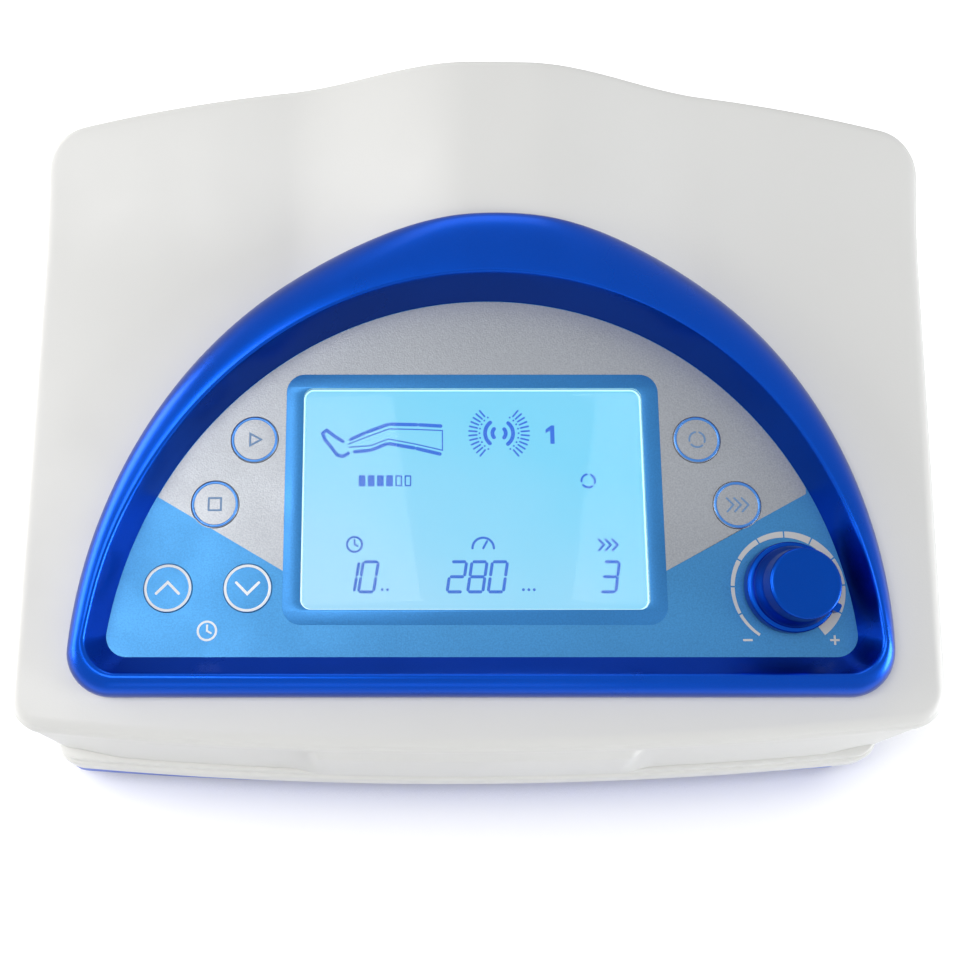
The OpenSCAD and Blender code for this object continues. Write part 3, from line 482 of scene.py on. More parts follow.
inner, ledge = rim_outline(cavity_in), rim_outline(cavity_in + 5)
top_start = rim_outline(rim_r)
under_start = rim_outline(cavity_in + 1.5)
bead = 0.7                # the bead stands this far out under the top's rolled edge
bead_top = 1.5
seat = 3
n_top = 26
seat_edge = bezel_edge + seat * (panel_edge - bezel_edge) / edge_width[:, None]
rings = [
    at_height(ledge, waist_low), at_height(waist(-0.9, 0.35, 0.35, 1.85, 0.375, 0.45), waist_low),
    at_height(waist(-1.15, 0.12, 0.12, 1.62, 0.375, 0.45), waist_low + 0.12),
    at_height(waist(-1.2, 0.1, 0.1, 1.6, 0.375, 0.45), waist_low + 0.5),
    below_top(waist(-0.95, waist_in - 0.9, 0.38, 0.65), rim_h + 7.2),
    below_top(waist(-0.9, waist_in - 0.8, 0.4, 0.6), rim_h + 6.2),
    below_top(waist(-0.75, waist_in - 0.6, 0.4, 0.6), rim_h + 5.6),
    below_top(waist(-0.35, waist_in - 0.25, 0.45, 0.6), rim_h + 4.8),
    below_top(waist(0.3, waist_in, 0.5, 0.6), rim_h + 0.6),
    below_top(mix(rim, step, 0.35), rim_h + 0.35), below_top(mix(rim, step, 0.06), rim_h - 0.05),
    below_top(rim, rim_h - 0.5), below_top(rim, bead_top + 1.0), below_top(rim_outline(0.12), bead_top + 0.55),
    below_top(rim_outline(0.4), bead_top + 0.3), below_top(rim_outline(bead - 0.1), bead_top + 0.2)]
for a in np.radians(np.linspace(0, 80, 9)):
    rolled_edge = rim_outline(bead + (rim_r - bead) * (1 - math.cos(a)))
    rings.append(below_top(rolled_edge, bead_top * (1 - math.sin(a)) ** 0.85))
rings += [on_top(mix(over(top_start), bezel_edge, k / n_top)) for k in range(n_top + 1)]
rings += [on_top(seat_edge), on_top(seat_edge, -wall)]
rings += [on_top(mix(over(under_start), bezel_edge, k / 8), -wall) for k in range(7, 0, -1)]
rings += [below_top(under_start, wall + 0.1), below_top(inner, wall + 1.5),
          at_height(inner, waist_low + wall), at_height(ledge, waist_low + wall)]
upper_case = link("upper_case_shell", ring_mesh("upper_case_shell", rings, True), case_white)


def block(name, low, high, material, radius=0.0, axis=2, segments=4):
    """A box with its edges along one axis rounded, as a closed mesh in metres."""
    work = bmesh.new()
    bmesh.ops.create_cube(work, size=1)
    low, high = np.array(low, float) * MM, np.array(high, float) * MM
    for v in work.verts:
        v.co = Vector([mix(low[k], high[k], v.co[k] + 0.5) for k in range(3)])
    if radius:
        along = [e for e in work.edges
                 if abs((e.verts[0].co - e.verts[1].co)[axis]) > 1e-6]
        bmesh.ops.bevel(work, geom=along, offset=radius * MM, segments=segments, affect="EDGES", profile=0.5)
    mesh = bpy.data.meshes.new(name)
    work.to_mesh(mesh)
    work.free()
    return link(name, mesh, material)


bay_low, bay_high = (-81, 72, 28), (81, 93, 68)
cut(upper_case, block("bay_tool", bay_low, bay_high, case_white, radius=2, axis=1))
for side_x in (-1, 1):
    slot = block("slot_tool", (side_x * 126 - 8, -7.5, 34), (side_x * 126 + 8, -4.5, 64), case_white, 1.4, 0)
    cut(upper_case, repeated(slot, 8, step=(0, 7, 0)))


def turned(name, profile, material, place, count=72, crease=32):
    """A turned piece: (radius, height) pairs from the axis at one end to the axis at the other."""
    rings, n = [], count
    points, faces = [], []
    for k, (r, z) in enumerate(profile):
        if r < 1e-9:
            rings.append([len(points)])
            points.append((0, 0, z * MM))
        else:
            rings.append(list(range(len(points), len(points) + n)))
            turns = [2 * math.pi * i / n for i in range(n)]
            points += [(r * MM * math.cos(a), r * MM * math.sin(a), z * MM) for a in turns]
    for a, b in zip(rings, rings[1:]):
        for i in range(n):
            j = (i + 1) % n
            if len(a) == 1:
                faces.append((a[0], b[i], b[j]))
            elif len(b) == 1:
                faces.append((a[i], b[0], a[j]))
            else:
                faces.append((a[i], b[i], b[j], a[j]))
    if len(rings[0]) > 1 and len(rings[-1]) > 1:
        for i in range(n):
            j = (i + 1) % n
            faces.append((rings[-1][i], rings[0][i], rings[0][j], rings[-1][j]))
    mesh = bpy.data.meshes.new(name)
    mesh.from_pydata(points, [], faces)
    mesh.transform(place)
    return link(name, outward(mesh), material, crease)


screw_at = ((-116, -77), (111, -77), (-116, 56), (116, 56))
for x, y in screw_at:
    boss = [(0, 38), (1.5, 38), (1.5, waist_low), (5.3, waist_low), (5.3, 40), (0, 40)]
    at_screw = Matrix.Translation((x * MM, y * MM, 0))
    cut(upper_case, turned("boss_tool", boss, case_white, at_screw, 32), how="UNION")
on_body(upper_case, "housing", "upper_case")

# ---- Lower case ----------------------------------------------------------------
# The white lip round the foot, moulded in the same ABS with two steps, on which the
# upper case stands. Its edges are rolled by about half a millimetre.
lip_low, lip_step, lip_high = 14, 20.5, 23
lip_in = 8


def lip_outline(inset):
    return case_outline(
        inset + hair, rim_half - 3.85, rim_front - 2.1, 1277, 89.5, 9, 11, -1.3, 0.0273, 0.024)


lip_rings = [at_height(lip_outline(d), z) for d, z in (
    (lip_in, lip_low), (0.3, lip_low), (0.05, lip_low + 0.15), (0, lip_low + 0.5),
    (0, lip_step - 0.9), (0.1, lip_step - 0.4), (0.35, lip_step - 0.1), (0.65, lip_step),
    (0.95, lip_step + 0.1), (1.0, lip_step + 0.5), (1.0, lip_high - 0.7), (1.12, lip_high - 0.25),
    (1.4, lip_high - 0.04), (1.8, lip_high), (lip_in, lip_high))]
lower_case = link("lower_case_lip", ring_mesh("lower_case_lip", lip_rings, True), case_white)
for x, y in screw_at:
    boss = [(1.7, lip_low), (5, lip_low), (5, lip_high), (1.7, lip_high)]
    at_screw = Matrix.Translation((x * MM, y * MM, 0))
    cut(lower_case, turned("boss_tool", boss, case_white, at_screw, 32), how="UNION")
on_body(lower_case, "housing", "lower_case")

# ---- Base tray -----------------------------------------------------------------
# The blue moulded floor of the pump. It shows as a thin line under the lip, and from
# below with its vents, posts and feet.
base_blue = finish("base_blue", tone(62, 104, 214), 0.4, drift=0.03, grain_mm=0.4, grain=0.05, scuffs=0.08)


def softened(node, name, width, material, body, crease=32, angle=35):
    """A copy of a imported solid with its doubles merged, flat faces made whole and edges a little rounded."""
    mesh = frame["nodes"][node].data.copy()
    work = bmesh.new()
    work.from_mesh(mesh)
    bmesh.ops.remove_doubles(work, verts=work.verts, dist=2e-6)
    bmesh.ops.dissolve_limit(
        work, angle_limit=math.radians(1), verts=work.verts, edges=work.edges, delimit={"NORMAL"})
    work.to_mesh(mesh)
    work.free()
    made = link(name, mesh, material, crease)
    bevel = made.modifiers.new("round", "BEVEL")
    bevel.width = width * MM
    bevel.segments = 2
    bevel.limit_method = "ANGLE"
    bevel.angle_limit = math.radians(angle)
    bevel.use_clamp_overlap = True
    settled(made)
    made.data.polygons.foreach_set("use_smooth", [True] * len(made.data.polygons))
    made.data.set_sharp_from_angle(angle=math.radians(crease))
    on_body(made, body, node)


softened("base_tray", "base_tray_moulding", 0.3, base_blue, "housing")

# ---- Bezel ---------------------------------------------------------------------
# A half-moon ring in ABS, sprayed in metallic blue under a clear coat. It rises from
# the panel to a crest and rolls down to the case, and clips into the opening.
bezel_lacquer = finish("bezel_lacquer", tone(0, 65, 170), 0.3, metal=1.0, coat=0.12, coat_rough=0.15,
                       drift=0.04, grain_mm=0.25, grain=0.06, grain_tone=0.06, rough_drift=0.04)
crest_top = 14
bezel_foot = 0.05
panel_t = 2.5
crest_h = 7 + 2 * smooth(0, 25, panel_edge[:, 1]) + (crest_top - 9) * smooth(45, 118, panel_edge[:, 1])
crest_in = (5.6 - 1.8 * smooth(0, 25, panel_edge[:, 1])) / edge_width
skirt = lift(bezel_edge[:, 0], bezel_edge[:, 1])
skirt_h = 0.8
crest_round = 1.0


def section(share, height):
    """A ring of the bezel: a share of the way from the panel's edge to the outer edge, at a height."""
    p = mix(panel_edge, bezel_edge, np.reshape(share, (-1, 1)) * np.ones((n_ring, 1)))
    return laid(np.c_[p, height * np.ones(n_ring)])


def outer_wall(angle):
    share = mix(crest_in, 1, math.sin(angle))
    return share, mix(skirt + skirt_h, crest_h, math.cos(angle))


def crest_curve(t):
    """The rounded crest, from the inner wall to the outer one."""
    wall_len = np.hypot(crest_in * edge_width, crest_h)
    back = 1 - crest_round / wall_len
    start = (crest_in * back, crest_h * back)
    end = (crest_in + crest_round / edge_width, outer_wall(math.asin(0.12))[1])
    return [(1 - t) ** 2 * a + 2 * t * (1 - t) * b + t * t * c
            for a, b, c in zip(start, (crest_in, crest_h), end)]


outer_start = np.arcsin(np.clip(crest_round / edge_width / (1 - crest_in), 0, 1))
bezel_rings = [section(0, bezel_foot)]
bezel_rings += [section(crest_in * s, crest_h * s + bezel_foot * (1 - s)) for s in (0.04, 0.2, 0.4, 0.6, 0.8)]
bezel_rings += [section(*crest_curve(t)) for t in np.linspace(0, 1, 7)]
for a in np.linspace(0, 1, 17)[1:]:
    turn = outer_start + (math.pi / 2 - outer_start) * a
    share = mix(crest_in, 1, np.sin(turn))
    bezel_rings.append(section(share, mix(skirt + skirt_h, crest_h, np.cos(turn))))
bezel_rings += [section(np.ones(n_ring), skirt + h) for h in (0.35, 0.12)]
bezel_rings += [section(1 - 0.1 / edge_width, skirt + bezel_foot)]
clip_at = 1 - (seat + 0.3) / edge_width
rib_at = 1.8 / edge_width
clip_p = mix(panel_edge, bezel_edge, clip_at[:, None])
bezel_rings += [on_top(clip_p, bezel_foot), section(clip_at, -panel_t), section(rib_at, -panel_t),
                section(rib_at, bezel_foot)]
bezel = link("bezel_half_moon", ring_mesh("bezel_half_moon", bezel_rings, True), bezel_lacquer, 50)
on_body(bezel, "housing", "bezel_ring")

# ---- Control panel -------------------------------------------------------------
# A flat ABS plate under a printed film: a blue field below and round the display, and
# silver wings above it with a fine metallic grain. Each key has its own opening.
film_blue = finish("film_blue", tone(58, 128, 182), 0.42, metal=0.6, drift=0.03, grain_mm=0.45, grain=0.10,
                   grain_tone=0.10)
film_silver = finish("film_silver", tone(152, 156, 162), 0.42, metal=0.7, drift=0.02, grain_mm=0.45, grain=0.14,
                     grain_tone=0.11)
lcd_low, lcd_high = np.array((-49.3, 22.9)), np.array((47.4, 86.2))
frame_low, frame_high = lcd_low - (4.9, 4.2), lcd_high + (4.7, 4.0)
frame_round, lcd_round = 5.2, 2.9
key_at = {"start": (-63, 70.9), "stop": (-73.6, 52.3), "up": (-85.8, 28.8), "down": (-63.8, 28.8),
          "mode": (62.5, 70.9), "speed": (72.8, 52.1)}
key_r = 6.7
key_gap = 0.3


def disc(centre, radius, count=64):
    return arc(centre, radius, 0, 360, count)


def rounded(low, high, radius, count=10):
    """A rectangle with round corners, anticlockwise."""
    (x0, y0), (x1, y1) = low, high
    corners = ((x1 - radius, y0 + radius, -90), (x1 - radius, y1 - radius, 0),
               (x0 + radius, y1 - radius, 90), (x0 + radius, y0 + radius, 180))
    return np.vstack([arc((x, y), radius, a, a + 90 * (count + 1) / count, count + 1) for x, y, a in corners])


def plate(name, shapes, low, high, material, edge=0.0, place=panel_place, crease=32):
    """Flat pieces of one thickness. Each shape is an outline and the outlines of its holes."""
    work = bmesh.new()
    for outlines in shapes:
        curve = bpy.data.curves.new(name, "CURVE")
        curve.dimensions = "2D"
        curve.fill_mode = "BOTH"
        curve.extrude = ((high - low) / 2 - edge) * MM
        curve.bevel_depth = edge * MM
        curve.bevel_resolution = 1
        curve.offset = -edge * MM
        for outline in outlines:
            spline = curve.splines.new("POLY")
            spline.points.add(len(outline) - 1)
            flat = np.c_[np.asarray(outline) * MM, np.zeros(len(outline)), np.ones(len(outline))]
            spline.points.foreach_set("co", flat.ravel())
            spline.use_cyclic_u = True
        drawn = bpy.data.objects.new(name, curve)
        bpy.context.scene.collection.objects.link(drawn)
        graph = bpy.context.evaluated_depsgraph_get()
        mesh = bpy.data.meshes.new_from_object(drawn.evaluated_get(graph))
        work.from_mesh(mesh)
        bpy.data.objects.remove(drawn)
        bpy.data.meshes.remove(mesh)
        bpy.data.curves.remove(curve)
    bmesh.ops.remove_doubles(work, verts=work.verts, dist=1e-6)
    bmesh.ops.recalc_face_normals(work, faces=work.faces)
    mesh = bpy.data.meshes.new(name)
    work.to_mesh(mesh)
    work.free()
    mesh.transform(place @ Matrix.Translation((0, 0, (low + high) / 2 * MM)))
    return link(name, mesh, material, crease)


key_slit = 0.14
key_holes = [disc(c, key_r + key_slit) for c in key_at.values()]
bushing_hole = disc((knob_u, knob_v), 3.5)
panel = plate("panel_plate", [[panel_outline(1.4), rounded(frame_low, frame_high, frame_round),
                               *key_holes, bushing_hole]], -panel_t, 0, film_blue)
on_body(panel, "housing", "control_panel")

film_t = 0.04
wing_outer_left, wing_outer_right = np.array((-89.7, 54.4)), np.array((92.4, 55.3))
wing_foot = 33.6
film_edge = panel_outline(-0.15)


def above(p, start, end):
    along = np.subtract(end, start)
    return along[0] * (p[:, 1] - start[1]) - along[1] * (p[:, 0] - start[0]) > 0


wing_left, wing_right = np.array((frame_low[0], wing_foot)), np.array((frame_high[0], wing_foot))
in_wings = above(film_edge, wing_outer_left, wing_left) & above(film_edge, wing_right, wing_outer_right)
in_wings &= film_edge[:, 1] > wing_foot
frame_corner_r = arc((frame_high[0] - frame_round, frame_high[1] - frame_round), frame_round, 90, -10, 10)
frame_corner_l = arc((frame_low[0] + frame_round, frame_high[1] - frame_round), frame_round, 180, 80, 10)
wings = np.vstack([wing_outer_right, film_edge[in_wings], wing_outer_left, wing_left,
                   frame_corner_l, frame_corner_r, wing_right])
silver = plate("panel_silver_film", [[wings, *[disc(key_at[k], key_r + key_slit) for k in
                                              ("start", "stop", "mode", "speed")]]], 0, film_t, film_silver)
on_body(silver, "housing")

# ---- Display -------------------------------------------------------------------
# A backlit liquid crystal display behind a clear window, in a blue film frame. The
# segments stand dark blue on the lit cyan field, under the window.
frame_film = finish("frame_film", tone(44, 118, 180), 0.38, metal=0.55, drift=0.02, grain_mm=0.45, grain=0.08,
                    grain_tone=0.08)
lcd_frame = plate("display_frame", [[rounded(frame_low, frame_high, frame_round),
                                     rounded(lcd_low, lcd_high, lcd_round)]], -panel_t, 0.03, frame_film, 0.03)
on_body(lcd_frame, "housing", "lcd_frame")

window_clear, tree = blank("window_clear")
place = tree.nodes.new("ShaderNodeTexCoord").outputs["Object"]
haze = add(tree, "ShaderNodeTexNoise", {"Vector": place, "Scale": 60}).outputs["Fac"]
haze_level = add(tree, "ShaderNodeMapRange", {"Value": haze, "To Min": 0.01, "To Max": 0.06})
sheet = add(tree, "ShaderNodeBsdfPrincipled", {
    "Base Color": (1, 1, 1, 1), "Roughness": haze_level.outputs[0], "IOR": 1.2, "Transmission Weight": 1})
fill(tree, tree.nodes["Material Output"], {"Surface": sheet.outputs[0]})
window = plate("display_window", [[rounded(lcd_low + 0.02, lcd_high - 0.02, lcd_round)]], -1.2, -0.1,
               window_clear, 0.08)
on_body(window, "housing", "lcd_window")


def lit(name, colours, strength, base):
    """A glowing finish whose tone drifts from one corner of the display to the other."""
    made, tree = blank(name)
    place = tree.nodes.new("ShaderNodeTexCoord").outputs["Object"]
    corner = (-(panel_at.x + lcd_low[0]) * MM, -(panel_at.y + lcd_low[1]) * MM, 0)
    from_corner = add(tree, "ShaderNodeMapping", {"Vector": place, "Location": corner}).outputs[0]
    across = add(tree, "ShaderNodeVectorMath", {0: from_corner, 1: (4.5, 9, 0)}, operation="DOT_PRODUCT")
    cloud = add(tree, "ShaderNodeTexNoise", {"Vector": place, "Scale": 30}).outputs["Fac"]
    ramp = add(tree, "ShaderNodeValToRGB", {
        "Fac": maths(tree, "MULTIPLY_ADD", cloud, 0.25, across.outputs["Value"])})
    for stop, colour, position in zip(ramp.color_ramp.elements, colours, (0.1, 0.85)):
        stop.color = colour
        stop.position = position
    shader = add(tree, "ShaderNodeBsdfPrincipled", {
        "Base Color": base, "Roughness": 0.35, "Emission Color": ramp.outputs[0],
        "Emission Strength": strength})
    fill(tree, tree.nodes["Material Output"], {"Surface": shader.outputs[0]})
    return made


display_cyan = lit("display_cyan", (tone(164, 222, 252), tone(118, 216, 252)), 0.92, tone(12, 30, 40))
display_ink = lit("display_ink", (tone(40, 108, 206), tone(2, 104, 226)), 0.9, tone(2, 20, 60))
edge_light = lit("display_edge_light", (tone(214, 246, 255), tone(196, 250, 255)), 1.0, tone(120, 160, 170))
frame["nodes"]["lcd_glass"].data.materials.clear()
frame["nodes"]["lcd_glass"].data.materials.append(display_cyan)


def stroke(points, width, turns=6):
    """The outline of a line drawn along points, with round ends."""
    p = np.asarray(points, float)
    step = np.diff(p, axis=0)
    step /= np.linalg.norm(step, axis=1)[:, None]
    side = np.c_[-step[:, 1], step[:, 0]]
    bend = np.vstack([side[:1], side[:-1] + side[1:], side[-1:]])
    bend /= (np.linalg.norm(bend, axis=1) ** 2 / np.r_[1, [2] * (len(p) - 2), 1])[:, None]
    half = width / 2
    a0 = math.degrees(math.atan2(side[0][1], side[0][0]))
    a1 = math.degrees(math.atan2(side[-1][1], side[-1][0]))
    return np.vstack([
        p[1:-1] - half * bend[1:-1], arc(p[-1], half, a1 - 180, a1 + 180 / turns, turns + 1),
        (p + half * bend)[-2:0:-1], arc(p[0], half, a0, a0 + 180 + 180 / turns, turns + 1)])


def hoop(centre, radius, width, count=48):
    return [disc(centre, radius + width / 2, count), disc(centre, radius - width / 2, count)]


ink_low, ink_high = -2.5, -2.4
digit_h, digit_w, digit_stroke, digit_slant = 8.4, 4.2, 0.85, math.tan(math.radians(9))
SEGMENTS = {"0": "abcdef", "1": "bc", "2": "abged", "3": "abgcd", "8": "abcdefg"}


def digit(mark, u, v):
    """A seven-segment digit with its lower left corner at u, v."""
    w, h, g = digit_w, digit_h, 0.55
    ends = {"a": ((g, h), (w - g, h)), "g": ((g, h / 2), (w - g, h / 2)), "d": ((g, 0), (w - g, 0)),
            "b": ((w, h - g), (w, h / 2 + g)), "c": ((w, h / 2 - g), (w, g)),
            "f": ((0, h - g), (0, h / 2 + g)), "e": ((0, h / 2 - g), (0, g))}
    return [[stroke([(u + x + y * digit_slant, v + y) for x, y in ends[s]], digit_stroke)]
            for s in SEGMENTS[mark]]


def fan(start, end, count, inner_r, outer_r, width, name):
    """Rays in a fan, made once and repeated round the origin."""
    turn = (end - start) / (count - 1)
    a = math.radians(start)
    ray = plate(name, [[stroke([(r * math.cos(a), r * math.sin(a)) for r in (inner_r, outer_r)], width)]],
                0, ink_high - ink_low, display_ink, place=Matrix.Identity(4))
    return repeated(ray, count, turn=(0, 0, turn))


limb_upper = [(-36.2, 71.4), (-31.5, 73.6), (-24.9, 76.1), (-16.5, 75.9), (-9.6, 75.5)]
limb_lower = [(-35.0, 67.9), (-30.0, 68.4), (-25.2, 70.4), (-17.3, 69.0), (-9.9, 67.2)]
limb_inner = [(-36.4, 70.2), (-31.4, 72.2), (-24.8, 74.7), (-16.5, 74.5), (-9.6, 74.2), (-9.6, 68.4),
              (-17.3, 70.2), (-25.0, 71.7), (-30.2, 69.7), (-36.2, 69.3)]
foot_line = [(-38.0, 71.0), (-40.5, 72.6), (-42.6, 74.3), (-43.8, 73.4), (-43.2, 71.6), (-41.2, 69.2),
             (-39.6, 67.0), (-37.9, 66.6), (-36.4, 67.5)]
cuff_gap = 0.9
shapes = []
for line in (limb_upper, limb_lower):
    for a, b in zip(line[::1], line[1:]):
        along = np.subtract(b, a)
        along = along / np.linalg.norm(along)
        shapes.append([stroke([np.add(a, along * cuff_gap / 2), np.subtract(b, along * cuff_gap / 2)], 1.0)])
shapes.append([stroke(foot_line, 1.0)])
shapes.append([stroke(limb_inner, 0.35)])
burst_at = (6.6, 73.4)
for side_x in (-1, 1):
    for radius, width, spread in ((1.9, 1.1, 42), (4.0, 1.1, 52)):
        middle = 90 - 90 * side_x
        bow = arc(burst_at, radius, middle - spread, middle + spread * 1.07, 15)
        shapes.append([stroke(bow, width)])
    for k in range(9):
        a = math.radians(90 - 90 * side_x - 56 + 14 * k)
        shapes.append([disc(np.add(burst_at, (5.6 * math.cos(a), 5.6 * math.sin(a))), 0.28, 12)])
for k, (mark, u) in enumerate(zip("10" "280" "3", (-38.6, -33.2, -8.6, -2.9, 2.8, 34.0))):
    shapes += digit(mark, u, 28.0)
bars_at, bar_pitch = (-33.4, 57.9), 2.6
for k in range(6):
    low = np.add(bars_at, (k * bar_pitch, 0))
    outline = rounded(low, low + (1.9, 3.2), 0.3, 3)
    shapes.append([outline] if k < 4 else [outline, rounded(low + 0.4, low + (1.5, 2.8), 0.1, 2)])
for k in range(3):
    shapes.append([stroke(arc((31.6, 59.5), 1.9, 100 + 120 * k, 195 + 120 * k, 9), 0.6)])
clock_at, gauge_at, speed_at = (-34.4, 41.3), (1.6, 40.2), (36.6, 41.2)
shapes.append(hoop(clock_at, 2.1, 0.6))
shapes.append([stroke([np.add(clock_at, (0, 1.25)), clock_at, np.add(clock_at, (0.9, -0.5))], 0.5)])
shapes.append([stroke(arc(gauge_at, 3.0, 0, 189, 20), 0.65)])
shapes.append([stroke([gauge_at, np.add(gauge_at, (1.1, 2.0))], 0.6)])
for k in (-1, 0, 1):
    x, y = np.add(speed_at, (k * 1.9, 0))
    shapes.append([stroke([(x - 0.7, y + 1.5), (x + 0.7, y), (x - 0.7, y - 1.5)], 0.65)])
for u, dots in ((-26.6, 2), (12.6, 3)):
    for k in range(dots):
        shapes.append([disc((u + 1.5 * k, 28.6), 0.4, 16)])
one_at = (21.4, 73.0)
shapes.append([[(one_at[0] + x, one_at[1] + y) for x, y in (
    (-0.2, -2.7), (1.0, -2.7), (1.0, 2.7), (0.1, 2.7), (-1.5, 1.5), (-1.5, 0.4), (-0.2, 1.2))]])
ink = plate("display_segments", shapes, ink_low, ink_high, display_ink)
ink_parts = [ink]
ray_turn = 9.2
for side_x in (-1, 1):
    middle = 90 - 90 * side_x
    rays = fan(middle - 5.5 * ray_turn, middle + 5.5 * ray_turn, 12, 6.4, 8.6, 0.5,
               "display_rays_%d" % (side_x + 1))
    rays.data.transform(panel_place @ Matrix.Translation((burst_at[0] * MM, burst_at[1] * MM, ink_low * MM)))
    ink_parts.append(rays)
glow_line = plate("display_edge_glow", [[rounded(lcd_low + 0.03, lcd_high - 0.03, lcd_round),
                                         rounded(lcd_low + 0.45, lcd_high - 0.45, lcd_round - 0.45)]],
                  ink_low, ink_high, edge_light)
for part in (*ink_parts, glow_line):
    on_body(part, "housing")

# ---- Keys ----------------------------------------------------------------------
# Six round keys, each a moulded cap under the same film as its surroundings with a
# raised ring near its edge: blue on the silver wings, white on the blue field.
ring_blue = finish("key_ring_blue", tone(70, 132, 206), 0.3, metal=0.5, drift=0.03, grain_mm=0.3, grain=0.05)
print_white = finish("print_white", tone(244, 246, 248), 0.45, drift=0.01, grain_mm=0.3, grain=0.05)
print_slate = finish("print_slate", tone(104, 140, 182), 0.45, drift=0.02, grain_mm=0.3, grain=0.05)
key_top = 0.6
key_face = 0.42


def panel_spot(u, v, w=0.0, turn=0.0):
    spot = panel_place @ Matrix.Translation((u * MM, v * MM, w * MM))
    return spot @ Matrix.Rotation(math.radians(turn), 4, "Z")


flange_r, key_low = key_r + 1.3, -panel_t - key_gap
cap_profile = [(0, key_face), (4.0, key_face), (5.3, key_face - 0.02), (5.75, key_face - 0.05),
               (6.25, key_face + 0.02), (6.5, key_face - 0.02), (6.65, key_face - 0.14), (key_r, key_face - 0.32),
               (key_r, key_low), (flange_r, key_low), (flange_r, key_low - 1.1), (2.5, key_low - 1.1),
               (2.5, -7.9), (0, -7.9)]
ring_profile = [(5.78 + 0.38 * (1 - math.cos(math.radians(a))),
                 key_face - 0.06 + (key_top - key_face + 0.06) * math.sin(math.radians(a)))
                for a in range(0, 181, 15)]
LEGENDS = {
    "start": [[[(-1.5, -2.2), (2.4, 0), (-1.5, 2.2)], [(-0.95, -1.25), (1.3, 0), (-0.95, 1.25)]]],
    "stop": [[rounded((-2, -2), (2, 2), 0.3, 3), rounded((-1.45, -1.45), (1.45, 1.45), 0.1, 3)]],
    "up": [[stroke([(-3.1, -1.5), (0, 1.6), (3.1, -1.5)], 0.75)]],
    "down": [[stroke([(-3.1, 1.5), (0, -1.6), (3.1, 1.5)], 0.75)]],
    "mode": [[stroke(arc((0, 0), 2.2, 100 + 120 * k, 198 + 120 * k, 12), 0.5)] for k in range(3)],
    "speed": [[stroke([(x - 0.9, 1.9), (x + 0.9, 0), (x - 0.9, -1.9)], 0.5)] for x in (-2.0, 0.1, 2.2)],
}
for key, (u, v) in key_at.items():
    on_blue = key in ("up", "down")
    cap = turned(f"{key}_key_cap", cap_profile, film_blue if on_blue else film_silver, panel_spot(u, v))
    ring = turned(f"{key}_key_ring", ring_profile, print_white if on_blue else ring_blue, panel_spot(u, v))
    legend = plate(f"{key}_key_symbol", LEGENDS[key], key_face, key_face + 0.05,
                   print_white if on_blue else print_slate, place=panel_spot(u, v))
    for part, node in ((cap, f"{key}_button"), (ring, None), (legend, None)):
        on_body(part, f"{key}_key", node)

# ---- Printed marks on the panel --------------------------------------------------
# Screen-printed on the film: the dial's tapered scale in silver, signs for less and
# more at its ends, and a clock under the arrow keys. The maker's place is left bare.
print_silver = finish("print_silver", tone(196, 196, 194), 0.42, metal=0.4, drift=0.02, grain_mm=0.3,
                      grain=0.05)


def scale_tree():
    """Geometry nodes for one segment of the scale: a bar bent round the dial, wider towards its end."""
    tree, given = new_tree("scale_segment", [(label, "Float") for label in (
        "Outer radius", "Start angle", "End angle", "Start width", "End width", "Thickness")])

    def between(start, end, share):
        change = maths(tree, "SUBTRACT", given[end], given[start])
        return maths(tree, "MULTIPLY_ADD", change, share, given[start])

    bar = add(tree, "GeometryNodeMeshCube", {"Vertices X": 25}).outputs["Mesh"]
    position = tree.nodes.new("GeometryNodeInputPosition").outputs[0]
    split = add(tree, "ShaderNodeSeparateXYZ", {0: position}).outputs
    along = maths(tree, "ADD", split["X"], 0.5)
    inwards = maths(tree, "SUBTRACT", 0.5, split["Y"])
    angle = between("Start angle", "End angle", along)
    width = between("Start width", "End width", along)
    radius = maths(tree, "SUBTRACT", given["Outer radius"], maths(tree, "MULTIPLY", width, inwards))
    spot = add(tree, "ShaderNodeCombineXYZ", {
        "X": maths(tree, "MULTIPLY", radius, maths(tree, "COSINE", angle)),
        "Y": maths(tree, "MULTIPLY", radius, maths(tree, "SINE", angle)),
        "Z": maths(tree, "MULTIPLY", maths(tree, "ADD", split["Z"], 0.5), given["Thickness"])})
    move = add(tree, "GeometryNodeSetPosition", {"Geometry": bar, "Position": spot.outputs[0]})
    return end_tree(tree, move.outputs["Geometry"], given["Material"])


SCALE = scale_tree()
scale_r = 15.8
scale_start, scale_end = 236, -56
scale_count, scale_gap = 10, 1.6
thin, thick = 0.75, 3.1
scale_work = bmesh.new()
for k in range(scale_count):
    t0, t1 = k / scale_count, (k + 1) / scale_count
    holder = bpy.data.objects.new("scale_bar", bpy.data.meshes.new("scale_bar"))
    bpy.context.scene.collection.objects.link(holder)
    run_tree(holder, SCALE, {
        "Outer radius": scale_r * MM,
        "Start angle": math.radians(mix(scale_start, scale_end, t0)),
        "End angle": math.radians(mix(scale_start, scale_end, t1) + scale_gap),
        "Start width": mix(thin, thick, t0 ** 1.3) * MM, "End width": mix(thin, thick, t1 ** 1.3) * MM,
        "Thickness": 0.05 * MM, "Material": print_silver})
    scale_work.from_mesh(holder.data)
    bpy.data.objects.remove(holder)
bmesh.ops.recalc_face_normals(scale_work, faces=scale_work.faces)
scale_mesh = bpy.data.meshes.new("dial_scale")
scale_work.to_mesh(scale_mesh)
scale_work.free()
scale_mesh.transform(panel_spot(knob_u, knob_v))
scale = link("dial_scale", scale_mesh, print_silver)
less_at, more_at, time_at = (73.5, 14.6), (97.3, 14.6), (-74.6, 17.1)
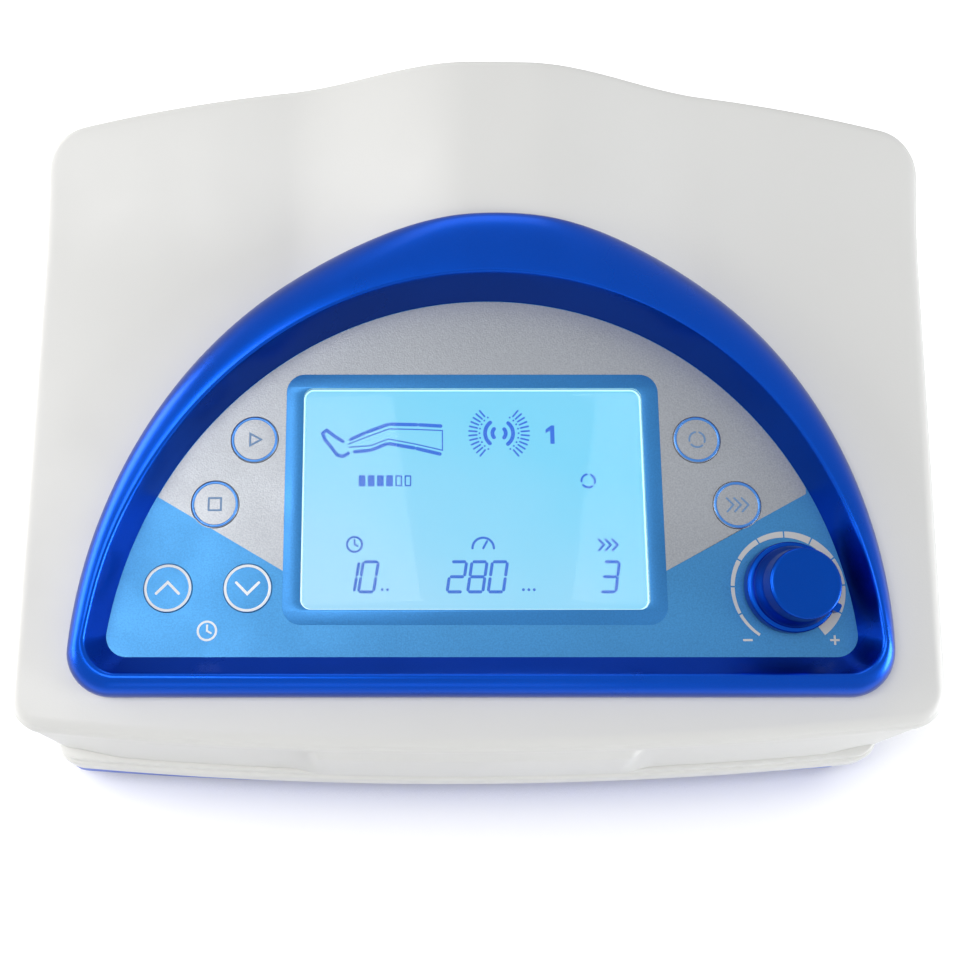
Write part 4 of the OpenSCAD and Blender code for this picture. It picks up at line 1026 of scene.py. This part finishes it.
signs = plate("dial_signs", [
    [rounded(np.subtract(less_at, (1.3, 0.28)), np.add(less_at, (1.3, 0.28)), 0.1, 2)],
    [rounded(np.subtract(more_at, (1.3, 0.28)), np.add(more_at, (1.3, 0.28)), 0.1, 2)],
    [rounded(np.add(more_at, (-0.28, 0.28)), np.add(more_at, (0.28, 1.3)), 0.1, 2)],
    [rounded(np.add(more_at, (-0.28, -1.3)), np.add(more_at, (0.28, -0.28)), 0.1, 2)]], 0, 0.05, print_silver)
clock = plate("clock_sign", [
    hoop(time_at, 2.5, 0.6),
    [stroke([np.add(time_at, (0, 1.5)), time_at, np.add(time_at, (1.1, -0.6))], 0.55)]], 0, 0.05, print_white)
for part in (scale, signs, clock):
    on_body(part, "housing")

# ---- Pressure knob ---------------------------------------------------------------
# A stepped knob, turned from one moulding and lacquered like the bezel, pushed on the
# shaft of the potentiometer. A small nose on its lower step points at the scale.
knob_lacquer = finish("knob_lacquer", tone(0, 61, 156), 0.31, metal=1.0, coat=0.08, coat_rough=0.15,
                      drift=0.03, grain_mm=0.25, grain=0.05, grain_tone=0.05, rough_drift=0.04)
knob_r, knob_low, knob_h = 12.5, 0.6, 14
step_a, step_b = 4.2, 7.6
knob_turn = -29


def rolled(r, z, radius, steps=5):
    """The rounded outer edge of a step of the knob."""
    return [(r - radius + radius * math.sin(a), z - radius + radius * math.cos(a))
            for a in np.linspace(0, math.pi / 2, steps)]


profile = [(0, knob_h - 0.45), (4, knob_h - 0.4), (7, knob_h - 0.22), (knob_r - 4.3, knob_h - 0.03)]
profile += rolled(knob_r - 2.95, knob_h, 0.9)[1:]
profile += [(knob_r - 2.85, step_b + 1.1), (knob_r - 2.7, step_b + 0.5), (knob_r - 2.4, step_b)]
profile += [(knob_r - 1.6, step_b - 1.5), (knob_r - 1.45, step_b - 2.1)]
profile += [(knob_r - 1.4, step_a + 0.3), (knob_r - 1.25, step_a + 0.05)]
profile += rolled(knob_r - 0.05, step_a, 0.75)[1:]
profile += [(knob_r, knob_low + 0.3), (knob_r - 0.25, knob_low), (8, knob_low), (8, 3.2), (3, 3.2),
            (3, knob_h - 3), (0, knob_h - 3)]
knob = turned("pressure_knob_cap", profile, knob_lacquer, panel_spot(knob_u, knob_v), 128)
nose = block("knob_nose", (knob_r - 4, -1.25, step_a - 0.6), (knob_r + 0.45, 1.25, step_b - 0.9),
             knob_lacquer, 0.5)
nose.data.transform(panel_spot(knob_u, knob_v, turn=knob_turn))
cut(knob, nose, how="UNION")
on_body(knob, "pressure_dial", "pressure_knob")

# ---- Connector bay at the rear -----------------------------------------------------
# A dark grey plate screwed into the rear wall carries the mains inlet with its three
# blades, the rocker switch in its frame and four hose outlets with barbed collars.
rear_grey = finish("rear_grey", tone(88, 90, 94), 0.55, drift=0.04, grain_mm=0.6, grain=0.16, scuffs=0.1)
black_plastic = finish("black_plastic", tone(36, 36, 38), 0.45, drift=0.06, grain_mm=0.5, grain=0.1,
                       scuffs=0.1)
rocker_black = finish("rocker_black", tone(30, 30, 32), 0.28, drift=0.05, grain_mm=0.3, grain=0.04)
socket_grey = finish("socket_grey", tone(196, 198, 200), 0.4, drift=0.03, grain_mm=0.4, grain=0.06)
contact_metal = finish("contact_metal", tone(214, 206, 176), 0.26, metal=1.0, drift=0.05, grain_mm=0.15,
                       grain=0.04, scuffs=0.12)
screw_steel = finish("screw_steel", tone(186, 188, 192), 0.32, metal=1.0, drift=0.06, grain_mm=0.12, grain=0.06,
                     scuffs=0.15)
for node, name, width, material, slot_name in (
        ("rear_panel", "rear_plate", 0.3, rear_grey, "rear_grey"),
        ("power_inlet", "mains_inlet_body", 0.35, black_plastic, "socket_black"),
        ("inlet_pins", "mains_inlet_blades", 0.25, contact_metal, "contact_metal"),
        ("switch_frame", "switch_surround", 0.35, black_plastic, "socket_black"),
        ("hose_sockets", "hose_outlets", 0.3, socket_grey, "socket_grey")):
    softened(node, name, width, material, "housing")
softened("switch_rocker", "rocker_key", 0.5, rocker_black, "rocker")


def screw(name, place, head_r, head_h, shank_r, shank, material):
    """A pan-head screw with a cross in its head, its axis along z and the head's underside at the origin."""
    dome = [(head_r * math.sin(a), head_h * 0.55 + head_h * 0.45 * math.cos(a))
            for a in np.linspace(0, math.pi / 2, 6)]
    made = turned(name, dome + [(head_r, 0.05), (head_r - 0.1, 0), (shank_r, 0), (shank_r, -shank), (0, -shank)],
                  material, Matrix.Identity(4), 32)
    for size in ((head_r * 0.6, head_r * 0.14), (head_r * 0.14, head_r * 0.6)):
        low, high = (-size[0], -size[1], head_h * 0.35), (size[0], size[1], head_h + 1)
        cut(made, block("cross_tool", low, high, material))
    made.data.transform(place)
    return made


inlet_x, rear_z, plate_face = -52, 48, 76
screw_pitch = 20
toward_rear = Matrix.Rotation(math.radians(-90), 4, "X")
rear_screws = screw("rear_plate_screws", Matrix.Identity(4), 2.6, 1.6, 1.5, 8.8, screw_steel)
rear_screws.data.transform(toward_rear)
repeated(rear_screws, 2, step=(2 * screw_pitch, 0, 0))
rear_screws.data.transform(Matrix.Translation(
    ((inlet_x - screw_pitch) * MM, (plate_face + 3) * MM, rear_z * MM)))
on_body(rear_screws, "housing", "rear_panel_screws")

# ---- Feet and case screws ----------------------------------------------------------
# Four black rubber feet pushed into the tray, and four screws in counterbores that
# hold tray, lip and upper case together.
foot_rubber = finish("foot_rubber", tone(40, 40, 42), 0.8, drift=0.08, grain_mm=0.7, grain=0.25, scuffs=0.05)
softened("rubber_feet", "rubber_feet_set", 0.5, foot_rubber, "housing")
both_pairs = bmesh.new()
for (x, y), (rear_x, rear_y) in (screw_at[::2], screw_at[1::2]):
    pair = screw("case_screw_pair", Matrix.Rotation(math.pi, 4, "X"), 3.2, 2.2, 1.5, 27.8, screw_steel)
    repeated(pair, 2, step=(rear_x - x, rear_y - y, 0))
    pair.data.transform(Matrix.Translation((x * MM, y * MM, 6 * MM)))
    both_pairs.from_mesh(pair.data)
    bpy.data.objects.remove(pair)
screw_mesh = bpy.data.meshes.new("case_screw_set")
both_pairs.to_mesh(screw_mesh)
both_pairs.free()
case_screws = link("case_screw_set", screw_mesh, screw_steel)
on_body(case_screws, "housing", "case_screws")

# ---- Pieces inside -------------------------------------------------------------------
# The boards, the transformer, the pump and its air lines are hidden when the case is
# closed. They keep their own solids, each in the finish of its real material.
inner_white = finish("inner_white", tone(222, 222, 216), 0.5, drift=0.03, grain_mm=0.6, grain=0.1)
inner_grey = finish("inner_grey", tone(122, 124, 128), 0.55, drift=0.04, grain_mm=0.6, grain=0.12)
solder_green = finish("solder_green", tone(28, 104, 62), 0.35, drift=0.12, grain_mm=0.8, grain=0.1,
                      grain_tone=0.1)
lamination = finish("lamination_iron", tone(92, 94, 98), 0.5, metal=0.9, drift=0.1, grain_mm=0.5, grain=0.3)
copper = finish("copper_winding", tone(186, 104, 48), 0.35, metal=0.9, drift=0.1, grain_mm=0.6, grain=0.4)
cast_metal = finish("cast_metal", tone(164, 166, 170), 0.45, metal=0.95, drift=0.06, grain_mm=0.5, grain=0.2)
shaft_steel = finish("shaft_steel", tone(190, 192, 196), 0.25, metal=1.0, drift=0.04, grain_mm=0.12,
                     grain=0.08)
felt = finish("filter_felt", tone(224, 216, 196), 0.95, drift=0.06, grain_mm=0.9, grain=0.6)
silicone = finish("tube_silicone", tone(208, 212, 212), 0.35, drift=0.03, grain_mm=0.6, grain=0.05)
wire_brown = finish("wire_brown", tone(110, 66, 40), 0.45, drift=0.08, grain_mm=0.4, grain=0.08)
INSIDE = (
    (inner_white, ("lcd_backlight", "pump_heads", "distributor_body", "distributor_rotor")),
    (inner_grey, ("panel_carrier", "ribbon_cable")),
    (black_plastic, ("tact_switches", "buzzer", "potentiometer", "capacitors", "pressure_sensor", "start_plunger",
                     "stop_plunger", "up_plunger", "down_plunger", "mode_plunger", "speed_plunger")),
    (solder_green, ("control_board", "power_board")),
    (lamination, ("transformer_core", "magnet_cores")),
    (copper, ("transformer_coil", "magnet_coils")),
    (cast_metal, ("pump_frame", "pump_armature", "distributor_motor")),
    (screw_steel, ("panel_screws", "potentiometer_nut")),
    (shaft_steel, ("knob_shaft",)),
    (foot_rubber, ("pump_mounts", "pump_diaphragms")),
    (felt, ("intake_filter",)),
    (silicone, ("air_tubes",)),
    (wire_brown, ("mains_wires",)),
    (window_clear, ("mains_fuse",)))
for material, names in INSIDE:
    for name in names:
        mesh = frame["nodes"][name].data
        mesh.materials.clear()
        mesh.materials.append(material)

bpy.context.scene.view_settings.view_transform = "Standard"
